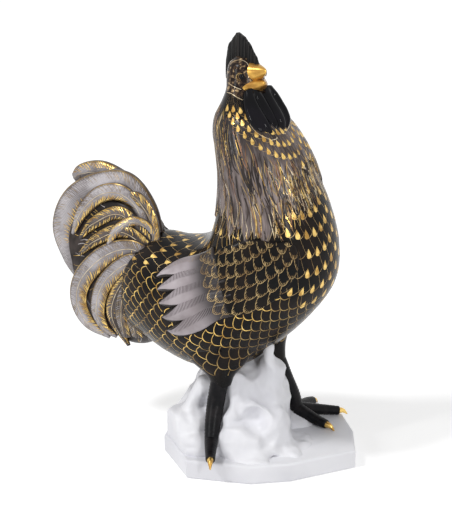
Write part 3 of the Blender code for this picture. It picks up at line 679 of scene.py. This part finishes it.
class Film:
    """Collects flat strokes of one paint and makes them one piece."""

    def __init__(self):
        self.points = []
        self.faces = []

    def strip(self, left, right):
        first, count = len(self.points), len(left)
        self.points += left + right
        self.faces += [(k, k + 1, k + count + 1, k + count) for k in range(first, first + count - 1)]

    def patch(self, centre, outline):
        first, count = len(self.points), len(outline)
        self.points += [centre] + outline
        self.faces += [(first, first + 1 + k, first + 1 + (k + 1) % count) for k in range(count)]

    def settle_strip(self, ground, left, right, normals, where, reach=12.0):
        """Lays a band on the ground and breaks it at a step, or where it would leave the surfaces allowed."""
        runs, before = [[]], None
        for a, b, normal in zip(left, right, normals):
            ends = [ground.settle(end, normal, where, reach) for end in (a, b)]
            lost = None in ends
            run = runs[-1]
            if run and (lost or (ends[0] - run[-1][0]).length > STEP_RATIO * norm(a - before) + STEP_SLACK):
                runs.append([])
            if not lost:
                runs[-1].append(ends)
            before = a
        for run in runs:
            if len(run) > 2:
                self.strip(*zip(*run))

    def make(self, name, material):
        mesh = bpy.data.meshes.new(name)
        mesh.from_pydata([place(p) for p in self.points], [], self.faces)
        write_marks(mesh, np.zeros((len(self.points), 3)))
        finish_piece(name, mesh, material)


class Ground:
    """The painted surfaces together, so that a motif settles on whichever is on top."""

    def __init__(self):
        points, faces, self.names = [], [], []
        for name, verts, polygons in SURFACES:
            base = len(points)
            points += [tuple(v) for v in verts]
            faces += [tuple(i + base for i in face) for face in polygons]
            self.names += [name] * len(polygons)
        self.tree = BVHTree.FromPolygons(points, faces)

    def settle(self, point, normal, allowed, reach=12.0):
        hit, _, index, _ = self.tree.ray_cast(Vector(point + normal * reach), Vector(-normal), 2 * reach)
        if hit is None or self.names[index] not in allowed:
            return None
        return Vector(hit) + Vector(normal) * PAINT_LIFT


def stroke(film, ground, origin, across, down, normal, line, width, allowed):
    """A line given by points across and down from an origin, as a film that tapers at both ends."""
    line = np.asarray(line, float)
    heading = unit(np.gradient(line, axis=0))
    taper = (np.sin(np.linspace(0.18, math.pi - 0.18, len(line))) ** 0.5 * width / 2)[:, None]
    beside = (across * -heading[:, 1:] + down * heading[:, :1]) * taper
    centre = origin + across * line[:, :1] + down * line[:, 1:]
    film.settle_strip(ground, centre + beside, centre - beside, [normal] * len(line), allowed)


def drop(film, ground, station, angle, height, cell, size, allowed):
    """A filled drop with its point up, at the foot of a scallop of that height that hangs at a place."""
    origin, across, down, normal = motif_axes(station, angle)
    rise, share, widest, length = size
    origin = origin + down * (height - rise)
    width = min(cell * share, widest)
    centre = ground.settle(origin + down * length * 0.2, normal, allowed)
    outline = []
    for k in range(16):
        turn = 2 * math.pi * k / 16
        x, y = width / 2 * 1.25 * math.sin(turn) * math.sin(turn / 2) ** 2, -length / 2 * math.cos(turn)
        settled = ground.settle(origin + across * x + down * y, normal, allowed)
        if settled is None or centre is None:
            return
        outline.append(settled)
    film.patch(centre, outline)


def torso_lattice(columns, pitch, lowest, highest):
    """Staggered cells over the torso: station, angle, axes (origin, across, down, normal) and width.

    A cell's across and down point at its neighbours, so that the scallops of one row meet
    and the next row hangs from them.
    """
    stations = np.linspace(0, len(TORSO) - 1, 500)
    middle = int(np.searchsorted(stations, 5.0))
    angles = math.pi * np.arange(2 * columns) / columns - math.pi
    walks = [run_lengths(torso_point(stations, angle)) for angle in angles]
    walks = [walk - walk[middle] for walk in walks]

    def corner(j, row):
        j %= 2 * columns
        return torso_point(np.interp(row * pitch, walks[j], stations), angles[j])

    cells = []
    for j, angle in enumerate(angles):
        first = math.ceil(walks[j][np.searchsorted(stations, lowest)] / pitch)
        last = math.floor(walks[j][min(np.searchsorted(stations, highest), 499)] / pitch)
        for row in range(first, last + 1):
            if (row + j) % 2:
                continue
            station = float(np.interp(row * pitch, walks[j], stations))
            left, right = corner(j - 1, row), corner(j + 1, row)
            origin = (left + right) / 2
            down = unit(corner(j, row - 1) - origin)
            normal = torso_normal(station, angle)
            across = unit(right - left)
            across *= np.sign(np.dot(across, np.cross(normal, down)))
            cells.append((station, angle, (origin, across, down, normal), norm(right - left)))
    return cells


def motif_axes(station, angle):
    """Origin, across, down and normal of a motif at a place on the torso."""
    origin = torso_point(station, angle)
    normal = torso_normal(station, angle)
    down = torso_point(station - 0.02, angle) - torso_point(station + 0.02, angle)
    down = unit(down - normal * np.dot(down, normal))
    return origin, np.cross(normal, down), down, normal


def arc(width, height, power, count=11):
    """A scallop, hanging from its two ends; the lower the power, the more it comes to a point."""
    return [(width / 2 * u, height * (1 - abs(u) ** power)) for u in np.linspace(-1, 1, count)]


def paint_scales(ground, gold, dull, thin):
    """Scallops over the body and thighs, with a drop of gold at the foot of each on breast and saddle."""
    where = ("body", "thigh")
    for station, angle, axes, width in torso_lattice(SCALE_COLUMNS, SCALE_PITCH, 0.8, 9.6):
        if width < 4 or abs(angle) < SADDLE_EDGE or (abs(angle) > 1.75 and station > BREAST_FOOT):
            continue
        film = dull if random.random() < 0.3 or abs(angle) > 2.2 else gold
        stroke(film, ground, *axes, arc(width, SCALE_PITCH * 1.08, 2.4), 0.85, where)
    for station, angle, axes, width in torso_lattice(BREAST_COLUMNS, BREAST_PITCH, 1.0, 12.6):
        if abs(angle) < SADDLE_EDGE and width > 4:
            height = BREAST_PITCH * 1.8
            stroke(thin, ground, *axes, arc(width, height, 1.8, 15), 0.36, where)
            drop(gold, ground, station, angle, height, width, SADDLE_DROP, where)
        elif abs(angle) > 1.7 and station > BREAST_FOOT:
            height = BREAST_PITCH * 2.0
            stroke(thin, ground, *axes, arc(width, height, 1.5, 15), 0.34, where)
            drop(gold, ground, station, angle, height, width, BREAST_DROP, where)


def paint_coverts(ground, thin):
    """Round feathers with a fringe of fine ticks over the wing's shoulder and its flight feathers' roots."""
    where = ("shoulder", "flight")
    for i in range(COVERT_ROWS):
        station = COVERT_TOP - COVERT_STEP * i
        for k in range(COVERT_COLUMNS):
            for side in (1, -1):
                angle = side * (0.85 + (k + 0.5 * (i % 2)) * COVERT_TURN)
                axes = motif_axes(station, angle)
                near = torso_point(station, (angle - 0.01, angle + 0.01))
                width = norm(near[1] - near[0]) / 0.02 * COVERT_TURN
                height = 1.2 * norm(axes[0] - torso_point(station - COVERT_STEP, angle))
                stroke(thin, ground, *axes, arc(width, height, 2.6), 0.4, where)
                for u in np.linspace(-0.85, 0.85, 8):
                    foot = height * (1 - abs(u) ** 2.6)
                    line = [(width / 2 * u, foot - share * 3.0) for share in (0.1, 0.4, 0.7, 1.0)]
                    stroke(thin, ground, *axes, line, 0.3, where)


def paint_neck(ground, gold, thin):
    """Rows of small drops round the throat."""
    where = ("hackle", "body")
    angles, edges = zip(*NECK_EDGE)
    for station, angle, axes, width in torso_lattice(NECK_COLUMNS, NECK_PITCH, 11.5, 14.7):
        if abs(angle) < angles[0] or station < np.interp(abs(angle), angles, edges):
            continue
        height = NECK_PITCH * 1.7
        stroke(thin, ground, *axes, arc(width, height, 1.5), 0.26, where)
        drop(gold, ground, station, angle, height, width, NECK_DROP, where)


def torso_line(film, ground, rows, side, width, where):
    """A thin line along places given by station and angle."""
    path = along(rows, 10)
    centre = torso_point(path[:, 0], side * path[:, 1])
    normal = torso_normal(path[:, 0], side * path[:, 1])
    beside = unit(np.cross(normal, unit(np.gradient(centre, axis=0)))) * width / 2
    film.settle_strip(ground, centre + beside, centre - beside, normal, where)


def paint_face(ground, cream):
    """Thin lines that border the face, and one beside each wattle."""
    for rows in FACE_LINES:
        for side in (1, -1):
            torso_line(cream, ground, rows, side, 0.45, ("body",))
    for edge in WATTLE_EDGES:
        centre = np.mean(edge, axis=0)
        inner, outer = [], []
        for x, y, z in edge:
            away = unit(np.array((y - centre[1], z - centre[2])))
            inner.append(on_head(x, y + away[0] * 0.2, z + away[1] * 0.2))
            outer.append(on_head(x, y + away[0] * 1.0, z + away[1] * 1.0))
        normals = np.tile((0.4, -0.86, 0.31), (len(edge), 1))
        cream.settle_strip(ground, np.array(inner), np.array(outer), normals, ("body", "hackle"), 40.0)


def paint_plumes(ground, gold, dull, pale, cream):
    """Gold barbs along each tail feather's inner edge, pale ones outside, its two rims and its quill."""
    shares = np.linspace(0, 1, 8)
    for name, facing, centre, quill, across, face, half, lengths in PLUMES:
        both_edges = any(word in name for word in TWO_EDGED_PLUMES)
        rows = slice(6, len(centre) - 3)
        middle, beside = centre[rows], across[rows]
        for side in facing:
            at = 8.0
            while at < lengths[-1] - 3:
                k = int(np.searchsorted(lengths, at))
                axes = (centre[k], across[k], quill[k], face[k] * side)
                for edge in (1, -1) if both_edges else (1,):
                    root = random.uniform(0.1, 0.6)
                    line = [(edge * half[k] * (root + (0.95 - root) * s), 6.0 * s**1.5 - 3.0) for s in shares]
                    stroke(gold, ground, *axes, line, random.uniform(0.3, 0.65), (name,))
                if not both_edges:
                    line = [(-half[k] * (0.12 + 0.78 * s), 6.0 * s**1.4 - 2.0) for s in shares]
                    stroke(random.choice((pale, pale, dull)), ground, *axes, line, 0.36, (name,))
                at += random.uniform(1.3, 2.1)
            up = face[rows] * side
            for film, *rim in ((dull, -0.97, -0.88), (gold, 0.9, 0.96)):
                edges = [middle + beside * half[rows, None] * share for share in rim]
                film.settle_strip(ground, *edges, up, (name,))
            if name != "main_sickle":
                cream.settle_strip(ground, middle + beside * 0.25, middle - beside * 0.25, up, (name,))


def paint_fan(ground, films):
    """Loose barbs between the tail's feathers, all pointing away from its root."""
    for _ in range(FAN_STROKES):
        x, z, side = random.uniform(-192, -100), random.uniform(72, 202), random.choice((1, -1))
        centre = np.array((x, side * fan_half(x, z), z))
        if centre[1] == 0:
            continue
        normal = np.array((0.0, side, 0.0))
        down = unit((centre - FAN_ROOT) * (1, 0, 1))
        bend = random.uniform(-3, 3)
        line = [(bend * s * s, random.uniform(9, 11) * s) for s in np.linspace(0, 1, 7)]
        axes = (centre, np.cross(normal, down), down, normal)
        stroke(random.choice(films), ground, *axes, line, 0.5, ("tail_fan",))


def paint_hackle(ground, films):
    """Flowing strokes down the hackle, given as gold, cream, rust, dull gold and dark films."""
    angles, stations = zip(*HACKLE_EDGE)
    neck_angles, neck_stations = zip(*NECK_EDGE)
    for _ in range(HACKLE_STROKES):
        angle = random.uniform(-math.pi, math.pi)
        low = float(np.interp(abs(angle), angles, stations)) + 0.2
        high = float(np.interp(abs(angle), neck_angles, neck_stations)) - 0.1
        top = low + (high - low) * random.random() ** 0.8
        height = (top - low) / (high - low)
        length = random.uniform(14.0, 36.0)
        sway, bend = random.uniform(-5.0, 5.0), random.uniform(-3.0, 3.0)
        weights = (3 - 2 * height, 4 - 3.5 * height, 1 + 3 * height, 3 + 2 * height, 9)
        film = films[random.choices(range(len(films)), weights)[0]]
        width = random.uniform(0.35, 0.8) * (2 if film is films[-1] else 1)
        line = []
        for share in np.linspace(0, 1, 9):
            line.append((sway * share**2 + bend * math.sin(math.pi * share), length * share))
        stroke(film, ground, *motif_axes(top, angle), line, width, ("hackle", "body"))


# Materials

def feed(socket, value):
    """Gives a socket a fixed value, or a link from another node's output."""
    if isinstance(value, bpy.types.NodeSocket):
        socket.id_data.links.new(value, socket)
    else:
        socket.default_value = value


def calculate(tree, operation, *values):
    node = tree.nodes.new("ShaderNodeMath")
    node.operation = operation
    for socket, value in zip(node.inputs, values):
        feed(socket, value)
    return node.outputs[0]


class Paint:
    """A glazed material's nodes, with short calls for the ones used here."""

    def __init__(self, name, roughness, metallic=0.0, specular=0.3):
        self.material = bpy.data.materials.new(name)
        self.material.use_nodes = True
        self.tree = self.material.node_tree
        self.nodes = self.tree.nodes
        self.shader = self.nodes["Principled BSDF"].inputs
        self.shader["Roughness"].default_value = roughness
        self.shader["Metallic"].default_value = metallic
        self.shader["Specular IOR Level"].default_value = specular

    def marks(self):
        node = self.nodes.new("ShaderNodeAttribute")
        node.attribute_name = "marks"
        split = self.nodes.new("ShaderNodeSeparateXYZ")
        feed(split.inputs[0], node.outputs["Vector"])
        return split.outputs

    def math(self, operation, *values):
        return calculate(self.tree, operation, *values)

    def times(self, a, b):
        return self.math("MULTIPLY", a, b)

    def noise(self, where, scale, detail=3.0):
        node = self.nodes.new("ShaderNodeTexNoise")
        feed(node.inputs["Vector"], where)
        node.inputs["Scale"].default_value = scale
        node.inputs["Detail"].default_value = detail
        return node.outputs[0]

    def cloud(self, scale, detail=3.0):
        return self.noise(self.nodes.new("ShaderNodeTexCoord").outputs["Object"], scale, detail)

    def streak(self, marks, factors, scale, detail):
        """Noise drawn out along a feather, read where each mark is taken times its own factor."""
        node = self.nodes.new("ShaderNodeCombineXYZ")
        for socket, mark, factor in zip(node.inputs, marks, factors):
            feed(socket, self.times(mark, factor))
        return self.noise(node.outputs[0], scale, detail)

    def step(self, value, low, high):
        """0 below low, 1 above high, and smooth between."""
        node = self.nodes.new("ShaderNodeMapRange")
        node.interpolation_type = "SMOOTHSTEP"
        feed(node.inputs["Value"], value)
        node.inputs["From Min"].default_value = low
        node.inputs["From Max"].default_value = high
        return node.outputs[0]

    def mix(self, share, a, b):
        node = self.nodes.new("ShaderNodeMix")
        node.data_type = "RGBA"
        feed(node.inputs["Factor"], share)
        for key, value in (("A", a), ("B", b)):
            socket = [s for s in node.inputs if s.name == key and s.type == "RGBA"][0]
            feed(socket, (*value, 1.0) if isinstance(value, tuple) else value)
        return [s for s in node.outputs if s.type == "RGBA"][0]

    def bump(self, height, strength, distance):
        node = self.nodes.new("ShaderNodeBump")
        node.inputs["Strength"].default_value = strength
        node.inputs["Distance"].default_value = distance * MM
        feed(node.inputs["Height"], height)
        feed(self.shader["Normal"], node.outputs[0])

    def colour(self, value):
        feed(self.shader["Base Color"], value)

    def metal(self, value):
        feed(self.shader["Metallic"], value)


BLACK = (0.003, 0.003, 0.003)
BROWN_BLACK = (0.014, 0.009, 0.007)


def clouded(name, shine, tones, scale, span, bump):
    """A paint that drifts between two tones, with a fine bump given by its scale, strength and distance."""
    paint = Paint(name, *shine)
    paint.colour(paint.mix(paint.step(paint.cloud(scale), *span), *tones))
    paint.bump(paint.cloud(bump[0]), *bump[1:])
    return paint.material


def glaze(name, dark, light, roughness, scale=40.0, specular=0.3):
    shine = (roughness, 0.0, specular)
    return clouded(name, shine, (dark, light), scale, (0.35, 0.7), (scale * 5, 0.08, 0.25))


def gilding(name, bright, deep, roughness, metallic):
    return clouded(name, (roughness, metallic), (deep, bright), 140.0, (0.35, 0.62), (900.0, 0.1, 0.1))


def barbs(paint, marks, spacing, slant):
    """Fine slanting lines that run out from the quill, 0 to 1."""
    out = paint.math("ABSOLUTE", marks[1])
    run = paint.math("ADD", paint.math("DIVIDE", marks[0], spacing), paint.times(out, slant))
    sway = paint.cloud(60.0)
    run = paint.math("ADD", run, paint.times(sway, 1.6))
    wave = paint.math("SINE", paint.times(run, 2 * math.pi))
    return paint.math("MULTIPLY_ADD", wave, 0.5, 0.5)


def plume_paint(name, dark, light, edge):
    """A tail feather: mottled pearly ground with fine barbs, a brown outer edge, painted shade on its inner
    side, a darker root.
    """
    paint = Paint(name, 0.25, specular=0.25)
    marks = paint.marks()
    fine = barbs(paint, marks, 1.3, -3.0)
    cloud = paint.cloud(42.0)
    tone = paint.math("MULTIPLY_ADD", fine, 0.35, paint.times(cloud, 0.9))
    ground = paint.mix(paint.step(tone, 0.4, 0.85), dark, light)
    outer = paint.step(paint.times(marks[1], -1.0), 0.62, 0.95)
    ground = paint.mix(paint.times(outer, 0.85), ground, edge)
    # Painted shade: the inner side darkens towards the edge colour, for the shadow beside the gold fringe
    inner = paint.step(marks[1], 0.15, 0.85)
    ground = paint.mix(paint.times(inner, 0.85), ground, edge)
    root = paint.math("SUBTRACT", 1.0, paint.step(marks[2], 0.02, 0.4))
    paint.colour(paint.mix(paint.times(root, 0.8), ground, edge))
    paint.bump(fine, 0.35, 0.3)
    return paint.material


def streaked_paint(name, dark, light):
    """A feather streaked along its length."""
    paint = Paint(name, 0.28)
    streak = paint.streak(paint.marks(), (0.05, 4.0, 0.0), 1.6, 4.0)
    paint.colour(paint.mix(paint.step(streak, 0.36, 0.62), dark, light))
    paint.bump(streak, 0.4, 0.5)
    return paint.material


def flight_paint(name, hatching):
    """A flight feather: pale mauve-grey with fine dark hatching along its lower half."""
    paint = Paint(name, 0.25)
    marks = paint.marks()
    run = paint.math("DIVIDE", marks[0], 1.55)
    lines = paint.step(paint.math("SINE", paint.times(run, 2 * math.pi)), -0.1, 0.5)
    half = paint.step(marks[1], -0.1, 0.15)
    hatch = paint.times(paint.times(lines, half), hatching)
    cloud = paint.cloud(45.0)
    ground = paint.mix(paint.step(cloud, 0.3, 0.7), (0.3, 0.26, 0.27), (0.45, 0.4, 0.42))
    ground = paint.mix(hatch, ground, (0.06, 0.045, 0.05))
    root = paint.math("SUBTRACT", 1.0, paint.step(marks[2], 0.2, 0.58))
    ground = paint.mix(paint.times(root, 0.95), ground, (0.016, 0.012, 0.012))
    # The pale painting comes to a point where the feather itself ends round; the brown-black round the point
    # is painted shade, for the dark gaps between the feathers' tips
    out = paint.math("ABSOLUTE", marks[1])
    point = paint.math("MULTIPLY_ADD", paint.math("SUBTRACT", marks[2], 0.7), 2.2, out)
    paint.colour(paint.mix(paint.step(point, 0.88, 0.98), ground, BROWN_BLACK))
    paint.bump(barbs(paint, marks, 1.4, 3.0), 0.2, 0.25)
    return paint.material


def comb_paint():
    """Black glaze with thin grey-brown streaks up the comb."""
    paint = Paint("comb_glaze", 0.36, specular=0.12)
    streak = paint.streak(paint.marks(), (1.0, 0.0, 0.0), 1.2, 2.0)
    paint.colour(paint.mix(paint.step(streak, 0.52, 0.68), (0.005, 0.005, 0.005), (0.06, 0.05, 0.045)))
    paint.bump(streak, 0.5, 0.4)
    return paint.material


def hackle_paint():
    """The hackle: dark brown at the top, then streaked mauve-grey, with pale gold round the points."""
    paint = Paint("hackle_paint", 0.25)
    marks = paint.marks()
    streak = paint.streak(marks, (0.035, 2.2, 1.5), 1.6, 5.0)
    cloud = paint.cloud(28.0)
    tone = paint.math("MULTIPLY_ADD", streak, 0.6, paint.times(cloud, 0.6))
    ground = paint.mix(paint.step(tone, 0.42, 0.78), (0.03, 0.02, 0.018), (0.27, 0.22, 0.21))
    top = paint.math("SUBTRACT", 1.0, paint.step(marks[2], 0.15, 0.7))
    ground = paint.mix(paint.times(top, 0.92), ground, (0.014, 0.009, 0.008))
    rim = paint.step(paint.math("ABSOLUTE", marks[1]), 0.86, 0.95)
    gold = paint.times(rim, paint.step(marks[2], 0.7, 0.85))
    paint.colour(paint.mix(gold, ground, (0.62, 0.47, 0.27)))
    paint.metal(paint.times(gold, 0.5))
    paint.bump(streak, 0.4, 0.5)
    return paint.material


def body_paint():
    """Black glaze, with the face speckled brown and gold from the throat up."""
    paint = Paint("body_paint", 0.22, specular=0.12)
    marks = paint.marks()
    cloud = paint.cloud(40.0)
    ground = paint.mix(paint.step(cloud, 0.35, 0.7), BLACK, BROWN_BLACK)
    face = paint.step(marks[0], 14.9, 15.1)
    speckle = paint.cloud(330.0, 4.0)
    skin_tone = paint.mix(paint.step(speckle, 0.44, 0.56), (0.012, 0.007, 0.006), (0.07, 0.042, 0.026))
    fleck = paint.times(paint.step(speckle, 0.58, 0.64), face)
    ground = paint.mix(face, ground, skin_tone)
    paint.colour(paint.mix(fleck, ground, (0.4, 0.28, 0.15)))
    paint.metal(paint.times(fleck, 0.4))
    paint.bump(speckle, 0.3, 0.5)
    return paint.material


def make_paints():
    beak_tones = ((0.32, 0.15, 0.03), (0.66, 0.38, 0.08))
    return {
        "black": glaze("black_glaze", BLACK, BROWN_BLACK, 0.22, specular=0.12),
        "glossy": glaze("wattle_glaze", (0.002, 0.002, 0.003), (0.005, 0.004, 0.007), 0.1, specular=0.14),
        "skin": glaze("leg_glaze", (0.004, 0.004, 0.005), (0.014, 0.012, 0.013), 0.34, 120.0, 0.12),
        "comb": comb_paint(),
        "white": glaze("white_biscuit", (0.74, 0.74, 0.78), (0.84, 0.84, 0.87), 0.4, 18.0),
        "tail_ground": glaze("tail_ground", (0.01, 0.007, 0.006), (0.05, 0.038, 0.034), 0.3, 60.0, 0.15),
        "tail_covert": streaked_paint("covert_paint", (0.03, 0.022, 0.02), (0.22, 0.185, 0.165)),
        "gold": gilding("gilding", (0.9, 0.62, 0.2), (0.42, 0.24, 0.06), 0.26, 0.85),
        "dull_gold": gilding("dull_gilding", (0.42, 0.29, 0.11), (0.2, 0.12, 0.04), 0.32, 0.6),
        "thin_gold": gilding("thin_gilding", (0.6, 0.43, 0.2), (0.28, 0.17, 0.07), 0.3, 0.6),
        "cream": gilding("cream_line", (0.8, 0.68, 0.48), (0.5, 0.36, 0.2), 0.3, 0.3),
        "pale": gilding("pale_barb", (0.6, 0.56, 0.56), (0.4, 0.35, 0.34), 0.35, 0.1),
        "rust": gilding("rust_stroke", (0.3, 0.14, 0.06), (0.12, 0.055, 0.03), 0.3, 0.3),
        "dark_line": glaze("dark_line", (0.012, 0.008, 0.007), (0.05, 0.035, 0.03), 0.25),
        "beak": clouded("beak_gilding", (0.28, 0.6), beak_tones, 90.0, (0.3, 0.65), (400.0, 0.12, 0.2)),
        # A plume paint's last tone is its brown outer edge, its darker root and the painted shade on its
        # inner side
        "sickle": plume_paint("sickle_paint", (0.16, 0.14, 0.14), (0.56, 0.53, 0.55), (0.05, 0.032, 0.025)),
        "dark_plume": plume_paint("dark_plume_paint", (0.02, 0.014, 0.012), (0.17, 0.14, 0.13), BROWN_BLACK),
        "flight": flight_paint("flight_paint", 0.95),
        "plain_flight": flight_paint("plain_flight_paint", 0.25),
        "hackle": hackle_paint(),
        "body": body_paint(),
    }


# Floor, light and camera

def seen_directly(tree, extra, base):
    """base, and extra on top of it where the camera, a reflection or glass looks straight at the surface."""
    path = tree.nodes.new("ShaderNodeLightPath").outputs
    direct = path["Is Camera Ray"]
    for kind in ("Is Glossy Ray", "Is Transmission Ray"):
        direct = calculate(tree, "MAXIMUM", direct, path[kind])
    return calculate(tree, "MULTIPLY_ADD", direct, extra, base)


def build_stage():
    mesh = bpy.data.meshes.new("floor")
    mesh.from_pydata([(-8, -8, 0), (8, -8, 0), (8, 8, 0), (-8, 8, 0)], [], [(0, 1, 2, 3)])
    floor = bpy.data.objects.new("floor", mesh)
    paint = Paint("floor_paper", 0.8)
    paint.colour(paint.mix(paint.cloud(3.0), (0.9, 0.9, 0.9), (0.94, 0.94, 0.94)))
    feed(paint.shader["Emission Color"], (1, 1, 1, 1))
    feed(paint.shader["Emission Strength"], seen_directly(paint.tree, FLOOR_GLOW, 0.0))
    mesh.materials.append(paint.material)
    link(floor)
    world = bpy.data.worlds.new("studio")
    world.use_nodes = True
    background = world.node_tree.nodes["Background"].inputs
    feed(background["Color"], (1, 1, 1, 1))
    feed(background["Strength"], seen_directly(world.node_tree, 1.0 - WORLD_LIGHT, WORLD_LIGHT))
    bpy.context.scene.world = world


def add_lamp(name, kind, location, power):
    """A lamp that points at the bird; returns its light."""
    light = bpy.data.lights.new(name, kind)
    light.energy = power
    lamp = bpy.data.objects.new(name, light)
    lamp.location = location
    lamp.rotation_euler = (CAMERA_TARGET - Vector(location)).to_track_quat("-Z", "Y").to_euler()
    link(lamp)
    return light


def add_strip(name, location, width, height):
    light = add_lamp(name, "AREA", location, STRIP_POWER)
    light.shape = "RECTANGLE"
    light.size, light.size_y = width, height


def build_camera():
    turn, lift = CAMERA_AZIMUTH, CAMERA_ELEVATION
    right = Vector((math.cos(turn), math.sin(turn), 0))
    up = Vector((-math.sin(turn) * math.sin(lift), math.cos(turn) * math.sin(lift), math.cos(lift)))
    back = right.cross(up)
    camera = bpy.data.objects.new("camera", bpy.data.cameras.new("camera"))
    camera.data.lens = CAMERA_LENS
    camera.data.sensor_width = 36.0
    pose = Matrix((right, up, back)).transposed().to_4x4()
    pose.translation = CAMERA_TARGET + back * CAMERA_DISTANCE
    camera.matrix_world = pose
    link(camera)
    bpy.context.scene.camera = camera


def main():
    bpy.context.scene.view_settings.view_transform = "Standard"
    paint = make_paints()
    build_camera()
    build_stage()
    add_lamp("sun", "SUN", (-0.7, -0.75, 1.6), SUN_POWER).angle = math.radians(9)
    add_strip("left_strip", (-0.75, -1.15, 0.75), 0.08, 0.4)
    add_strip("right_strip", (0.95, -0.75, 0.7), 0.08, 0.45)

    build_body(paint)
    build_tail(paint)
    build_wings(paint)
    build_hackle(paint)
    build_leg("near", NEAR_THIGH, NEAR_SHANK, NEAR_TOES, paint)
    build_leg("far", FAR_THIGH, FAR_SHANK, FAR_TOES, paint)
    build_head(paint)
    build_rock(paint)
    build_plinth(paint)

    ground = Ground()
    gold, dull, thin, cream, pale, rust, dark = (Film() for _ in range(7))
    paint_scales(ground, gold, dull, thin)
    paint_coverts(ground, thin)
    paint_hackle(ground, (gold, cream, rust, dull, dark))
    paint_neck(ground, gold, thin)
    paint_face(ground, cream)
    paint_plumes(ground, gold, dull, pale, cream)
    paint_fan(ground, (gold, dull, pale))
    gold.make("gold_painting", paint["gold"])
    dull.make("dull_gold_painting", paint["dull_gold"])
    thin.make("fine_gold_painting", paint["thin_gold"])
    cream.make("cream_strokes", paint["cream"])
    pale.make("pale_barbs", paint["pale"])
    rust.make("rust_strokes", paint["rust"])
    dark.make("dark_strokes", paint["dark_line"])


main()
